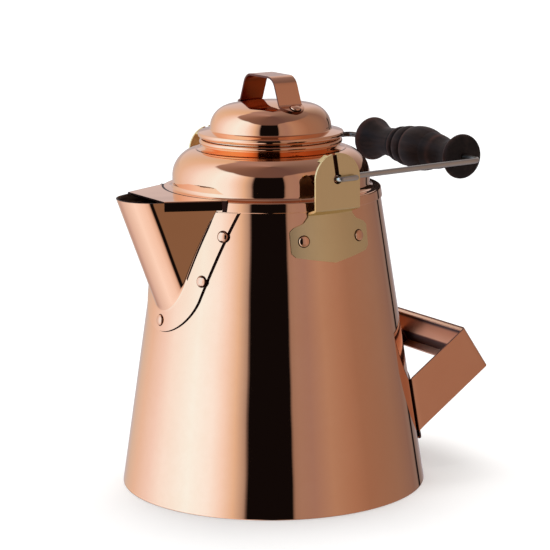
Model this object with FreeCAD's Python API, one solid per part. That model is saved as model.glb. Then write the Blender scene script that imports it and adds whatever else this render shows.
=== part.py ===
import FreeCAD, Part
import math
import os
from FreeCAD import Vector as V

# Copper stove kettle: tapered body, riveted pitcher spout, lift-off lid, wire bail with a turned
# wooden grip, and a riveted strap handle at the back.
# Frame: +Z up, origin at the centre of the base, spout towards -X, strap handle towards +X.
# Left is -Y and right is +Y, as seen by someone who holds the strap handle and pours.

# ---- driving dimensions, mm ----
SHEET = 1.0                     # copper sheet of the body, shoulder, spout and lid
BASE_RADIUS = 95.0              # outer radius of the body at the base
WALL_TAPER = 27.0 / 178.0       # how much the radius shrinks per millimetre of height
FLANGE_TOP = 186.2              # flat ring of the shoulder, also the rim of the spout
SKIRT_BOTTOM = 180.2            # lower edge of the shoulder's skirt over the body
BASE_SHEET = 1.2
BASE_RIM_HEIGHT = 9.0

DOME_FOOT_RADIUS = 61.0         # shoulder dome where it leaves the flat ring
DOME_BEND = 17.0                # outer bend radius of the shoulder dome
DOME_TOP = 210.3
NECK_HOLE_RADIUS = 41.0

COLLAR_TOP = 218.6              # mouth edge of the neck collar
COLLAR_BORE = 40.0
COLLAR_FOOT_RADIUS = 44.8
BEAD_LOW, BEAD_HIGH, BEAD_RADIUS = 212.9, 216.2, 44.1

BRIM_RADIUS = 44.9
BRIM_EDGE_Z = 218.7             # widest point of the rolled brim
BRIM_TOP_Z = 220.3
LID_WALL_RADIUS = 37.4
LID_WALL_Z = 222.8
LID_BEND = 14.0                 # outer bend radius between the lid's wall and its crown
LID_TOP = 239.2
PLUG_RADIUS, PLUG_SHEET, PLUG_BOTTOM = 39.3, 0.9, 206.0

KNOB_WIDTH = 16.0
KNOB_SHEET = 1.2
KNOB_TOP = 255.2
KNOB_TOP_HALF, KNOB_FOOT_HALF, KNOB_TOE = 17.5, 24.5, 33.0
KNOB_BEND = 9.0
KNOB_RIVET_Y = 29.0

SPOUT_HALF_ANGLE = math.radians(25.5)
SPOUT_NOSE_RADIUS = 22.0
SPOUT_TIP_X = -105.2
SPOUT_LEAN = 0.382              # how far the nose runs back per millimetre down
SPOUT_BOTTOM = 98.0
SPOUT_FLANGE_TOP_HALF, SPOUT_FLANGE_KNEE = 48.3, (31.0, 126.0)
SPOUT_FLANGE_BOTTOM = 104.3
COVER_FRONT_X, COVER_REAR_X = -87.8, -53.5
COVER_FOLD = 5.0                # depth of the folded side flanges
STRAINER_HOLE_RADIUS, STRAINER_PITCH, STRAINER_ROWS = 3.0, 9.5, 6
STRAINER_BOTTOM, STRAINER_ROW_PITCH = 124.0, 8.5

RIVET_HEAD_RADIUS, RIVET_HEAD_HEIGHT, RIVET_SHANK_RADIUS = 3.2, 1.6, 1.6
RIVET_TAIL_RADIUS, RIVET_TAIL_HEIGHT = 2.4, 1.0
BURR_RADIUS, BURR_THICKNESS = 3.6, 0.8
SPOUT_RIVETS = ((40.0, 165.8), (31.3, 138.3), (0.0, 110.5))

HINGE_Z = 200.0                 # bail pivots
EAR_SHEET = 1.4
EAR_OUTER_Y = 76.2              # outer face of the ear's upright plate
EAR_HALF_WIDTH = 15.5
EAR_HOLE_RADIUS = 3.0
EAR_FOOT_HALF, EAR_FOOT_LOW, EAR_FOOT_HIGH, EAR_FOOT_POINT = 27.0, 154.0, 171.5, 149.5
EAR_NECK_Z = 174.5
JOGGLE_LOW, JOGGLE_HIGH = 177.0, 182.0
SLOT_WIDTH, SLOT_LEAN = 2.8, 9.0
STOP_TAB_ANGLE, STOP_TAB_WIDTH, STOP_TAB_DEPTH = 125.0, 6.0, 5.0
EAR_FOOT_CORNER = 2.5           # bevel at the foot's corners
EAR_NECK_FLARE = 3.0            # how far the neck widens into the foot
EAR_RIVET_X, EAR_RIVET_Z = 19.0, 163.2

WIRE_RADIUS = 1.7
BAIL_ARM_Y = 72.8               # arm of the bail, just inside the ear
BAIL_END_Y = 78.3               # bent-over end, just outside the ear
BAIL_END_X = 13.0
BAIL_REACH = 106.0
BAIL_CORNER = 5.0
BAIL_REST_ANGLE = 1.05          # how far the bail leans up from level where it rests
GRIP_CENTRE_Y = -4.15           # the grip slides on the wire and rests a little towards -Y
GRIP_BORE_CLEARANCE = 0.08

STRAP_ANGLE = math.radians(34.0)
STRAP_WIDTH, STRAP_SHEET = 32.0, 1.2
STRAP_OUTER_TOP = (116.5, 90.0) # x and z of the strap's outer top corner
STRAP_HALF_SPAN = 44.6
STRAP_BEND = 3.0
STRAP_LIP = 4.5
STRAP_TAB, STRAP_TAB_DROP = 15.0, 6.0   # reach of a tab, and how far it runs on below the strap
STRAP_RIVET_Y, STRAP_RIVET_PITCH = 36.0, 15.0

ORIGIN, UP = V(0, 0, 0), V(0, 0, 1)
NORMAL_TILT = math.atan(WALL_TAPER)


# ---- small geometry helpers ----
def body_radius(z):
    """Outer radius of the body wall at a height."""
    return BASE_RADIUS - WALL_TAPER * z


def cone(offset, low, high):
    """Solid bounded by the body's outer surface moved out by an offset."""
    return Part.makeCone(body_radius(low) + offset, body_radius(high) + offset, high - low, V(0, 0, low))


def face_of(edges):
    """Face bounded by a closed chain of edges."""
    return Part.Face(Part.Wire(Part.__sortEdges__(edges)))


def polyline(points):
    """Straight edges through the points."""
    return [Part.LineSegment(a, b).toShape() for a, b in zip(points, points[1:])]


def arc(a, middle, b):
    return Part.Arc(a, middle, b).toShape()


def turned(edges):
    """Solid of revolution about the kettle's axis."""
    return face_of(edges).revolve(ORIGIN, UP, 360)


def at(radius, z):
    """Point of a turned profile."""
    return V(radius, 0, z)


def on_circle(centre, radius, degrees):
    """Point of a turned profile on a circle."""
    turn = math.radians(degrees)
    return at(centre[0] + radius * math.cos(turn), centre[1] + radius * math.sin(turn))


def mirror_y(shape):
    return shape.mirror(ORIGIN, V(0, 1, 0))


def cylinder(start, direction, radius, length):
    return Part.makeCylinder(radius, length, start, direction)


def save(name, shape):
    """Write one node as a STEP file."""
    if len(shape.Solids) == 1:
        shape = shape.Solids[0]
    else:
        shape = Part.makeCompound(shape.Solids)
    shape.exportStep("parts/" + name + ".step")
    box = shape.BoundBox
    print("%-20s %2d solid %9.1f mm3 valid %s  x %.1f..%.1f y %.1f..%.1f z %.1f..%.1f" % (
        name, len(shape.Solids), shape.Volume, shape.isValid(),
        box.XMin, box.XMax, box.YMin, box.YMax, box.ZMin, box.ZMax))


# ---- rivets ----
class Rivet:
    """A solid copper rivet: domed head outside, shank through the sheets, burr and tail inside."""

    def __init__(self, seat, normal, grip):
        self.seat, self.normal, self.grip = seat, normal, grip

    def hole(self):
        start = self.seat + self.normal * 1.0
        return cylinder(start, self.normal * -1, RIVET_SHANK_RADIUS, self.grip + 3.0)

    def pin(self):
        cap_radius = (RIVET_HEAD_RADIUS ** 2 + RIVET_HEAD_HEIGHT ** 2) / (2 * RIVET_HEAD_HEIGHT)
        ball_centre = self.seat + self.normal * (RIVET_HEAD_HEIGHT - cap_radius)
        head = Part.makeSphere(cap_radius, ball_centre)
        slab = cylinder(self.seat - self.normal * 0.2, self.normal, RIVET_HEAD_RADIUS, RIVET_HEAD_HEIGHT + 1)
        inner = self.seat - self.normal * (self.grip + BURR_THICKNESS)
        shank = cylinder(inner - self.normal * 0.1, self.normal, RIVET_SHANK_RADIUS, self.grip + 1.2)
        tail = Part.makeCone(RIVET_TAIL_RADIUS, 1.2, RIVET_TAIL_HEIGHT, inner, self.normal * -1)
        return head.common(slab).fuse([shank, tail]).removeSplitter()

    def burr(self):
        base = self.seat - self.normal * (self.grip + BURR_THICKNESS)
        ring = cylinder(base, self.normal, BURR_RADIUS, BURR_THICKNESS + 0.3)
        return ring.cut(cylinder(base - self.normal, self.normal, RIVET_SHANK_RADIUS, 4.0))


def wall_normal(angle):
    """Outward normal of the body wall at an angle about the axis."""
    level = math.cos(NORMAL_TILT)
    return V(math.cos(angle) * level, math.sin(angle) * level, math.sin(NORMAL_TILT))


def wall_rivet(aside, z, outer_sheet, facing):
    """Rivet through a plate on the body wall; the plate's middle faces an angle about the axis."""
    radius = body_radius(z)
    angle = facing + math.asin(aside / radius)
    normal = wall_normal(angle)
    foot = V(radius * math.cos(angle), radius * math.sin(angle), z)
    return Rivet(foot + normal * outer_sheet, normal, outer_sheet + SHEET * math.cos(NORMAL_TILT))


def drill(shape, rivets):
    """The shape with its rivet holes."""
    for rivet in rivets:
        shape = shape.cut(rivet.hole())
    return shape


def rivet_group(rivets, sheets):
    """Pins and burrs of a group, trimmed to the sheets that they clamp."""
    pins, burrs = [], []
    for rivet in rivets:
        pin, burr = rivet.pin(), rivet.burr()
        for sheet in sheets:
            pin, burr = pin.cut(sheet), burr.cut(sheet)
        pins.append(max(pin.Solids, key=lambda solid: solid.Volume))
        burrs.append(max(burr.Solids, key=lambda solid: solid.Volume))
    return Part.makeCompound(pins), Part.makeCompound(burrs)


# ---- body ----
def make_body_wall():
    top = FLANGE_TOP - SHEET
    wall = cone(0, 0, top).cut(cone(-SHEET, -1, top + 1))
    for row in range(STRAINER_ROWS):
        z = STRAINER_BOTTOM + row * STRAINER_ROW_PITCH
        count = row + 2
        for index in range(count):
            y = (index - (count - 1) / 2) * STRAINER_PITCH
            wall = wall.cut(cylinder(V(-BASE_RADIUS, y, z), V(1, 0, 0), STRAINER_HOLE_RADIUS, 60))
    return wall


def make_base_plate():
    """Flat pan inside the foot of the wall, its rim turned up against the wall."""
    outside = cone(-SHEET, 0, BASE_RIM_HEIGHT)
    inside = cone(-SHEET - BASE_SHEET, BASE_SHEET, BASE_RIM_HEIGHT + 1)
    return outside.cut(inside)


def make_shoulder_cover():
    under = FLANGE_TOP - SHEET
    bend_z = DOME_TOP - DOME_BEND
    centre = (DOME_FOOT_RADIUS - DOME_BEND, bend_z)
    outer = [
        at(body_radius(SKIRT_BOTTOM) + SHEET, SKIRT_BOTTOM),
        at(body_radius(FLANGE_TOP) + SHEET, FLANGE_TOP - 0.8),
        at(body_radius(FLANGE_TOP) + SHEET - 0.6, FLANGE_TOP),
        at(DOME_FOOT_RADIUS + 1.0, FLANGE_TOP),
        at(DOME_FOOT_RADIUS, FLANGE_TOP + 1.2),
        at(DOME_FOOT_RADIUS, bend_z),
    ]
    inner = [
        at(DOME_FOOT_RADIUS - SHEET, bend_z),
        at(DOME_FOOT_RADIUS - SHEET, under),
        at(body_radius(under), under),
        at(body_radius(SKIRT_BOTTOM), SKIRT_BOTTOM),
        at(body_radius(SKIRT_BOTTOM) + SHEET, SKIRT_BOTTOM),
    ]
    crown, under_crown = on_circle(centre, DOME_BEND, 90), on_circle(centre, DOME_BEND - SHEET, 90)
    edges = polyline(outer) + polyline(inner)
    edges.append(arc(outer[-1], on_circle(centre, DOME_BEND, 45), crown))
    edges.append(arc(under_crown, on_circle(centre, DOME_BEND - SHEET, 45), inner[0]))
    hole_edge = [at(NECK_HOLE_RADIUS, DOME_TOP), at(NECK_HOLE_RADIUS, DOME_TOP - SHEET)]
    edges += polyline([crown] + hole_edge + [under_crown])
    return turned(edges)


def make_neck_collar():
    """Tube through the shoulder's hole, with a coved foot and one rolled bead."""
    tube = COLLAR_BORE + SHEET
    bead_middle = (BEAD_LOW + BEAD_HIGH) / 2
    foot = [at(tube, DOME_TOP - 3), at(tube, DOME_TOP), at(COLLAR_FOOT_RADIUS, DOME_TOP)]
    cove_top = at(tube + 0.9, DOME_TOP + 2.2)
    bead = [at(tube + 0.9, BEAD_LOW), at(BEAD_RADIUS, bead_middle), at(tube + 0.9, BEAD_HIGH)]
    hollow = at(BEAD_RADIUS - SHEET, bead_middle)
    bead_inside = [at(COLLAR_BORE, BEAD_HIGH), hollow, at(COLLAR_BORE, BEAD_LOW)]
    edges = polyline(foot) + polyline([cove_top, bead[0]])
    edges.append(arc(foot[-1], at(tube + 1.6, DOME_TOP + 0.9), cove_top))
    edges.append(arc(*bead))
    edges += polyline([bead[2], at(tube + 0.9, COLLAR_TOP), at(COLLAR_BORE, COLLAR_TOP), bead_inside[0]])
    edges.append(arc(*bead_inside))
    edges += polyline([bead_inside[2], at(COLLAR_BORE, DOME_TOP - 3), foot[0]])
    return turned(edges)


# ---- spout ----
def spout_prism(inset, top, bottom):
    """Solid inside the spout's walls, moved in by an inset, between two heights."""
    nose_radius = SPOUT_NOSE_RADIUS - inset
    nose_x = SPOUT_TIP_X + SPOUT_NOSE_RADIUS + SPOUT_LEAN * (FLANGE_TOP - top)
    back = nose_radius * math.sin(SPOUT_HALF_ANGLE)
    side = nose_radius * math.cos(SPOUT_HALF_ANGLE)
    length = 75.0
    left = V(nose_x - back, -side, top)
    right = V(nose_x - back, side, top)
    run = V(math.cos(SPOUT_HALF_ANGLE), -math.sin(SPOUT_HALF_ANGLE), 0) * length
    rear_left = left + run
    rear_right = right + V(run.x, -run.y, 0)
    tip = V(nose_x - nose_radius, 0, top)
    edges = [arc(left, tip, right)] + polyline([right, rear_right, rear_left, left])
    return face_of(edges).extrude(V(SPOUT_LEAN, 0, -1) * (top - bottom))


def kettle_core():
    """Everything inside the body's and the skirt's outer surfaces."""
    skirt = cone(SHEET, SKIRT_BOTTOM, FLANGE_TOP + 4)
    return cone(0, 0, SKIRT_BOTTOM).fuse(skirt)


def spout_flange_outline():
    """Block whose section across X is the riveted flange's outline."""
    knee_y, knee_z = SPOUT_FLANGE_KNEE
    back = -20.0
    top = SKIRT_BOTTOM - 0.3
    corner_left, corner_right = V(back, -SPOUT_FLANGE_TOP_HALF, top), V(back, SPOUT_FLANGE_TOP_HALF, top)
    knee_left, knee_right = V(back, -knee_y, knee_z), V(back, knee_y, knee_z)
    edges = polyline([knee_left, corner_left, corner_right, knee_right])
    edges.append(arc(knee_right, V(back, 0, SPOUT_FLANGE_BOTTOM), knee_left))
    return face_of(edges).extrude(V(-90, 0, 0))


def make_spout_shell():
    walls = spout_prism(0, FLANGE_TOP, SPOUT_BOTTOM).cut(spout_prism(SHEET, FLANGE_TOP + 1, SPOUT_BOTTOM - 1))
    walls = walls.cut(kettle_core())
    flange = cone(SHEET, 100, SKIRT_BOTTOM).cut(cone(0, 99, SKIRT_BOTTOM + 1))
    flange = flange.common(spout_flange_outline())
    flange = flange.cut(spout_prism(SHEET, FLANGE_TOP + 1, SPOUT_BOTTOM - 1))
    front = walls.common(Part.makeBox(130, 140, 120, V(-140, -70, 80)))
    return front.fuse(flange).removeSplitter()


def cover_outline(inset, front_x, rear_x, low, high):
    """Block that follows the spout's side walls between two stations."""
    half = []
    for x in (front_x, rear_x):
        nose_x = SPOUT_TIP_X + SPOUT_NOSE_RADIUS
        reach = (x - nose_x) * math.sin(SPOUT_HALF_ANGLE) + SPOUT_NOSE_RADIUS - inset
        half.append(reach / math.cos(SPOUT_HALF_ANGLE))
    front = [V(front_x, -half[0], low), V(front_x, half[0], low)]
    rear = [V(rear_x, half[1], low), V(rear_x, -half[1], low)]
    return face_of(polyline(front + rear + front[:1])).extrude(V(0, 0, high - low))


def make_spout_cover():
    """Flat cover over the back of the spout, with folded sides that grip the walls."""
    top = FLANGE_TOP + SHEET
    over = cover_outline(-SHEET, COVER_FRONT_X, COVER_REAR_X, FLANGE_TOP, top)
    over = over.cut(Part.makeCylinder(DOME_FOOT_RADIUS + 1.0, 5, V(0, 0, FLANGE_TOP - 1)))
    low = FLANGE_TOP - COVER_FOLD
    sides = cover_outline(-SHEET, COVER_FRONT_X, COVER_REAR_X - 1.0, low, FLANGE_TOP)
    sides = sides.cut(spout_prism(0, FLANGE_TOP + 1, low - 10).fuse(kettle_core()))
    return over.fuse(sides.Solids).removeSplitter()


# ---- ears ----
def ear_foot_outline():
    """Block whose section across Y is the foot plate's outline, neck included."""
    y = -60.0
    corner, half, flare = EAR_FOOT_CORNER, EAR_FOOT_HALF, EAR_NECK_FLARE
    right = [
        V(0, y, EAR_FOOT_POINT), V(half - corner, y, EAR_FOOT_LOW), V(half, y, EAR_FOOT_LOW + corner),
        V(half, y, EAR_FOOT_HIGH - corner), V(half - corner, y, EAR_FOOT_HIGH),
        V(EAR_HALF_WIDTH + flare, y, EAR_NECK_Z - 0.6), V(EAR_HALF_WIDTH, y, EAR_NECK_Z + flare),
        V(EAR_HALF_WIDTH, y, JOGGLE_LOW + 1.5),
    ]
    left = [V(-point.x, point.y, point.z) for point in reversed(right)]
    return face_of(polyline(right + left)).extrude(V(0, -30, 0))


def make_ear():
    """Brass ear on the -Y side: curved foot, joggle, and upright plate with the pivot hole."""
    foot = cone(EAR_SHEET, 140, 182).cut(cone(0, 139, 183)).common(ear_foot_outline())
    inner_y = -(EAR_OUTER_Y - EAR_SHEET)
    plate = Part.makeBox(2 * EAR_HALF_WIDTH, EAR_SHEET, HINGE_Z - JOGGLE_HIGH,
                         V(-EAR_HALF_WIDTH, -EAR_OUTER_Y, JOGGLE_HIGH))
    plate = plate.fuse(cylinder(V(0, -EAR_OUTER_Y, HINGE_Z), V(0, 1, 0), EAR_HALF_WIDTH, EAR_SHEET))
    wall_y = -body_radius(JOGGLE_LOW)
    step = [
        V(-EAR_HALF_WIDTH, wall_y + 2.5, JOGGLE_LOW), V(-EAR_HALF_WIDTH, wall_y - EAR_SHEET, JOGGLE_LOW),
        V(-EAR_HALF_WIDTH, -EAR_OUTER_Y, JOGGLE_HIGH), V(-EAR_HALF_WIDTH, inner_y, JOGGLE_HIGH),
    ]
    joggle = face_of(polyline(step + step[:1])).extrude(V(2 * EAR_HALF_WIDTH, 0, 0))
    ear = foot.fuse([joggle, plate, stop_tab()]).cut(kettle_core()).removeSplitter()
    ear = max(ear.Solids, key=lambda solid: solid.Volume)
    ear = ear.cut(cylinder(V(0, -EAR_OUTER_Y - 2, HINGE_Z), V(0, 1, 0), EAR_HOLE_RADIUS, 6))
    slot = Part.makeBox(SLOT_WIDTH, 6, 20, V(-SLOT_WIDTH / 2, -EAR_OUTER_Y - 2, HINGE_Z))
    slot.rotate(V(0, 0, HINGE_Z), V(0, 1, 0), -SLOT_LEAN)
    return ear.cut(slot)


def stop_tab():
    """Small tab on the plate's round edge, folded in, that stops the bail on the spout side."""
    tab = Part.makeBox(EAR_SHEET, STOP_TAB_DEPTH + EAR_SHEET, STOP_TAB_WIDTH,
                       V(EAR_HALF_WIDTH - EAR_SHEET - 0.1, -EAR_OUTER_Y, HINGE_Z - STOP_TAB_WIDTH / 2))
    tab.rotate(V(0, 0, HINGE_Z), V(0, 1, 0), -STOP_TAB_ANGLE)
    return tab


# ---- bail ----
def at_rest(shape):
    """Leans a level bail part up to where it rests."""
    shape.rotate(V(0, 0, HINGE_Z), V(0, 1, 0), -BAIL_REST_ANGLE)
    return shape


def wire_path():
    """Centre line of the bail's wire, hooked through both ears and bent over outside them."""
    turn = (BAIL_END_Y - BAIL_ARM_Y) / 2
    middle = (BAIL_END_Y + BAIL_ARM_Y) / 2
    corner, reach, z = BAIL_CORNER, BAIL_REACH, HINGE_Z
    bend = corner * (1 - math.sqrt(0.5))
    points = [
        V(BAIL_END_X, -BAIL_END_Y, z), V(turn, -BAIL_END_Y, z), V(turn, -BAIL_ARM_Y, z),
        V(reach - corner, -BAIL_ARM_Y, z), V(reach, -BAIL_ARM_Y + corner, z),
        V(reach, BAIL_ARM_Y - corner, z), V(reach - corner, BAIL_ARM_Y, z),
        V(turn, BAIL_ARM_Y, z), V(turn, BAIL_END_Y, z), V(BAIL_END_X, BAIL_END_Y, z),
    ]
    middles = {
        1: V(0, -middle, z), 3: V(reach - bend, -BAIL_ARM_Y + bend, z),
        5: V(reach - bend, BAIL_ARM_Y - bend, z), 7: V(0, middle, z),
    }
    edges = []
    for index, (a, b) in enumerate(zip(points, points[1:])):
        edges.append(arc(a, middles[index], b) if index in middles else Part.LineSegment(a, b).toShape())
    return Part.Wire(edges)


def make_bail_wire():
    path = wire_path()
    circle = Part.makeCircle(WIRE_RADIUS, V(BAIL_END_X, -BAIL_END_Y, HINGE_Z), V(1, 0, 0))
    return at_rest(path.makePipeShell([Part.Wire([circle])], True, True))


# Turned profile of the grip: distance from the grip's middle towards -Y, and radius.
GRIP_FAR_NECK = [(-48.4, 14.0), (-42.2, 11.4), (-34.0, 9.1), (-25.7, 9.4), (-18.7, 10.2)]
GRIP_BEADS = [
    ((-18.7, 10.2), (-15.4, 11.4), (-11.9, 10.9)),
    ((-11.9, 10.9), (-6.2, 12.5), (-1.6, 12.2)),
    ((-1.6, 12.2), (7.7, 14.2), (18.1, 11.6)),
    ((18.1, 11.6), (21.6, 11.9), (26.2, 10.7)),
]
GRIP_NEAR_NECK = [(26.2, 10.7), (30.8, 9.6), (37.0, 9.2), (43.7, 11.2), (48.8, 13.9)]
GRIP_HALF_LENGTH = 52.0


def make_wood_grip():
    def spot(place):
        return V(BAIL_REACH + place[1], GRIP_CENTRE_Y - place[0], HINGE_Z)

    def smooth(places):
        curve = Part.BSplineCurve()
        curve.interpolate([spot(place) for place in places])
        return curve.toShape()

    bore = WIRE_RADIUS + GRIP_BORE_CLEARANCE
    far_end, near_end = -GRIP_HALF_LENGTH, GRIP_HALF_LENGTH
    edges = [smooth(GRIP_FAR_NECK), smooth(GRIP_NEAR_NECK)]
    edges += [arc(*[spot(place) for place in bead]) for bead in GRIP_BEADS]
    edges.append(arc(spot((far_end, 11.0)), spot((far_end + 0.9, 13.2)), spot(GRIP_FAR_NECK[0])))
    edges.append(arc(spot(GRIP_NEAR_NECK[-1]), spot((near_end - 0.7, 13.0)), spot((near_end, 11.0))))
    edges += polyline([spot(place) for place in (
        (near_end, 11.0), (near_end, bore), (far_end, bore), (far_end, 11.0))])
    return at_rest(face_of(edges).revolve(V(BAIL_REACH, 0, HINGE_Z), V(0, 1, 0), 360))


# ---- lid ----
def lid_crown(offset):
    """Arc centres and radii of the lid's wall-to-crown bend and crown, moved out by an offset."""
    bend_centre = (LID_WALL_RADIUS - LID_BEND, LID_WALL_Z)
    drop = LID_TOP - LID_WALL_Z
    across = bend_centre[0]
    crown = (across ** 2 + drop ** 2 - LID_BEND ** 2) / (2 * (drop - LID_BEND))
    crown_centre = (0.0, LID_TOP - crown)
    rise = math.degrees(math.atan2(bend_centre[1] - crown_centre[1], across))
    return bend_centre, LID_BEND + offset, crown_centre, crown + offset, rise


def crown_edges(offset):
    """Edges from the lid's wall up to its top."""
    bend_centre, bend, crown_centre, crown, rise = lid_crown(offset)
    wall, meet = on_circle(bend_centre, bend, 0), on_circle(bend_centre, bend, rise)
    top = on_circle(crown_centre, crown, 90)
    first = arc(wall, on_circle(bend_centre, bend, rise / 2), meet)
    second = arc(meet, on_circle(crown_centre, crown, (rise + 90) / 2), top)
    return wall, top, [first, second]


def brim_under(radius):
    """Height of the brim's underside."""
    slope = (LID_WALL_Z - 0.8 - BRIM_TOP_Z) / (BRIM_RADIUS - 0.3 - LID_WALL_RADIUS - 1.0)
    return BRIM_TOP_Z - SHEET + slope * (BRIM_RADIUS - 0.3 - radius)


def make_lid_shell():
    wall, top, outer = crown_edges(0)
    wall_in, top_in, inner = crown_edges(-SHEET)
    brim_inner = LID_WALL_RADIUS + 1.0
    lip = BRIM_RADIUS - 1.3
    chain = [
        at(BRIM_RADIUS - 0.3, BRIM_TOP_Z), at(brim_inner, LID_WALL_Z - 0.8), wall,
    ]
    under = [
        wall_in, at(wall_in.x, brim_under(wall_in.x)), at(lip - 0.4, brim_under(lip - 0.4)),
        at(lip - 0.4, BRIM_EDGE_Z - 1.7), at(lip, BRIM_EDGE_Z - 1.7),
    ]
    edges = polyline(chain) + outer + inner + polyline([top, top_in]) + polyline(under)
    edges.append(arc(under[-1], at(BRIM_RADIUS, BRIM_EDGE_Z), chain[0]))
    return turned(edges)


def make_lid_plug_ring():
    inside = PLUG_RADIUS - PLUG_SHEET
    ring = [
        at(inside, PLUG_BOTTOM), at(PLUG_RADIUS, PLUG_BOTTOM), at(PLUG_RADIUS, brim_under(PLUG_RADIUS)),
        at(inside, brim_under(inside)), at(inside, PLUG_BOTTOM),
    ]
    return turned(polyline(ring))


def lid_block(offset):
    """Solid under the lid's crown, moved out by an offset."""
    wall, top, edges = crown_edges(offset)
    floor = 200.0
    return turned(edges + polyline([top, at(0, floor), at(wall.x, floor), wall]))


def knob_arch():
    """Bent strap: flat top, rounded corners and splayed legs."""
    def outline(inset):
        top = KNOB_TOP - inset
        bend = KNOB_BEND - inset
        foot_z = 228.0
        splay = (KNOB_FOOT_HALF - KNOB_TOP_HALF) / (KNOB_TOP - 236.0)
        foot = KNOB_TOP_HALF + splay * (KNOB_TOP - foot_z) - inset
        tilt = math.atan(splay)
        centre_y = KNOB_TOP_HALF + splay * KNOB_BEND - KNOB_BEND / math.cos(tilt)
        centre = V(0, centre_y, KNOB_TOP - KNOB_BEND)
        low = centre + V(0, math.cos(tilt), math.sin(tilt)) * bend
        turn = (math.pi / 2 + tilt) / 2
        middle = centre + V(0, math.cos(turn), math.sin(turn)) * bend
        right = [V(0, centre_y, top), middle, low, V(0, foot, foot_z)]
        left = [V(0, -point.y, point.z) for point in right]
        edges = [arc(right[0], right[1], right[2]), arc(left[0], left[1], left[2])]
        edges += polyline([left[0], right[0]]) + polyline(right[2:]) + polyline(left[2:])
        edges += polyline([right[3], left[3]])
        return face_of(edges)

    strip = outline(0).cut(outline(KNOB_SHEET))
    arch = strip.extrude(V(KNOB_WIDTH, 0, 0))
    arch.translate(V(-KNOB_WIDTH / 2, 0, 0))
    return arch


def make_lid_knob():
    feet = lid_block(KNOB_SHEET).cut(lid_block(0))
    middle = KNOB_FOOT_HALF - KNOB_SHEET
    run = KNOB_TOE - KNOB_WIDTH / 2 - middle
    feet_area = []
    for side in (-1, 1):
        near = middle if side > 0 else -middle - run
        feet_area.append(Part.makeBox(KNOB_WIDTH, run, 60, V(-KNOB_WIDTH / 2, near, 205)))
        toe = Part.makeCylinder(KNOB_WIDTH / 2, 60, V(0, side * (KNOB_TOE - KNOB_WIDTH / 2), 205))
        feet_area.append(toe.cut(Part.makeBox(60, 2 * middle, 80, V(-30, -middle, 200))))
    area = feet_area[0].fuse(feet_area[1:])
    arch = knob_arch().cut(lid_block(0))
    return arch.fuse(feet.common(area)).removeSplitter()


def lid_rivets():
    """One rivet through each foot of the knob, square to the lid's surface."""
    bend_centre, bend = lid_crown(0)[:2]
    aside = KNOB_RIVET_Y - bend_centre[0]
    sink = math.sqrt((bend + KNOB_SHEET) ** 2 - aside ** 2)
    rivets = []
    for side in (-1, 1):
        seat = V(0, side * KNOB_RIVET_Y, bend_centre[1] + sink)
        normal = V(0, side * aside, sink).normalize()
        rivets.append(Rivet(seat, normal, KNOB_SHEET + SHEET))
    return rivets


# ---- strap handle ----
def strap_frame():
    """Outer top corner of the strap, its outward direction, and the direction across its width."""
    corner = V(STRAP_OUTER_TOP[0], 0, STRAP_OUTER_TOP[1])
    out = V(math.cos(STRAP_ANGLE), 0, math.sin(STRAP_ANGLE))
    across = V(math.sin(STRAP_ANGLE), 0, -math.cos(STRAP_ANGLE))
    return corner, out, across


def strap_outline(inset, length):
    """U of the strap, seen along its width."""
    corner, out = strap_frame()[:2]
    half, bend = STRAP_HALF_SPAN - inset, STRAP_BEND - inset
    front = corner - out * inset
    bevel = bend * (1 - math.sqrt(0.5))

    def place(back, y):
        return front - out * back + V(0, y, 0)

    edges = polyline([place(length, -half), place(bend, -half)])
    edges.append(arc(place(bend, -half), place(bevel, -half + bevel), place(0, -half + bend)))
    edges += polyline([place(0, -half + bend), place(0, half - bend)])
    edges.append(arc(place(0, half - bend), place(bevel, half - bevel), place(bend, half)))
    edges += polyline([place(bend, half), place(length, half), place(length, -half)])
    return face_of(edges)


def make_rear_handle():
    corner, out, across = strap_frame()
    length = 90.0
    strip = strap_outline(0, length).cut(strap_outline(STRAP_SHEET, length + 5))
    strap = strip.extrude(across * STRAP_WIDTH)
    bar_half = STRAP_HALF_SPAN - STRAP_BEND - 2.0
    lips = []
    for start in (0.0, STRAP_WIDTH - STRAP_SHEET):
        root = corner + across * start - out * (STRAP_LIP + STRAP_SHEET)
        lip = [root, root + out * (STRAP_LIP + 0.5)]
        lip += [lip[1] + across * STRAP_SHEET, root + across * STRAP_SHEET, root]
        section = face_of(polyline(lip))
        section.translate(V(0, -bar_half, 0))
        lips.append(section.extrude(V(0, 2 * bar_half, 0)))
    strap = strap.fuse(lips).cut(cone(0, -20, 150))
    strap = max(strap.Solids, key=lambda solid: solid.Volume)
    hug = cone(STRAP_SHEET, 5, 110).cut(cone(0, 4, 111))
    tabs = []
    band = [corner + out * 10, corner - out * 70]
    wide = across * (STRAP_WIDTH + STRAP_TAB_DROP)
    band += [band[1] + wide, band[0] + wide, band[0]]
    for near in (-STRAP_HALF_SPAN, STRAP_HALF_SPAN - STRAP_TAB):
        section = face_of(polyline(band))
        section.translate(V(0, near, 0))
        tabs.append(hug.common(section.extrude(V(0, STRAP_TAB, 0))))
    return strap.fuse(tabs).removeSplitter()


def strap_rivets():
    """Two rivets through each tab of the strap."""
    corner, out, across = strap_frame()
    rivets = []
    for side in (-1, 1):
        for place in (-0.5, 0.5):
            middle = corner + across * (STRAP_WIDTH / 2 + place * STRAP_RIVET_PITCH)
            z = middle.z
            for _ in range(8):
                x = math.sqrt(body_radius(z) ** 2 - STRAP_RIVET_Y ** 2)
                z = middle.z - (middle.x - x) * math.tan(STRAP_ANGLE)
            rivets.append(wall_rivet(side * STRAP_RIVET_Y, z, STRAP_SHEET, 0.0))
    return rivets


def spout_rivets():
    places = [(side * y, z) for y, z in SPOUT_RIVETS for side in ((-1, 1) if y else (1,))]
    return [wall_rivet(y, z, SHEET, math.pi) for y, z in places]


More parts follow.
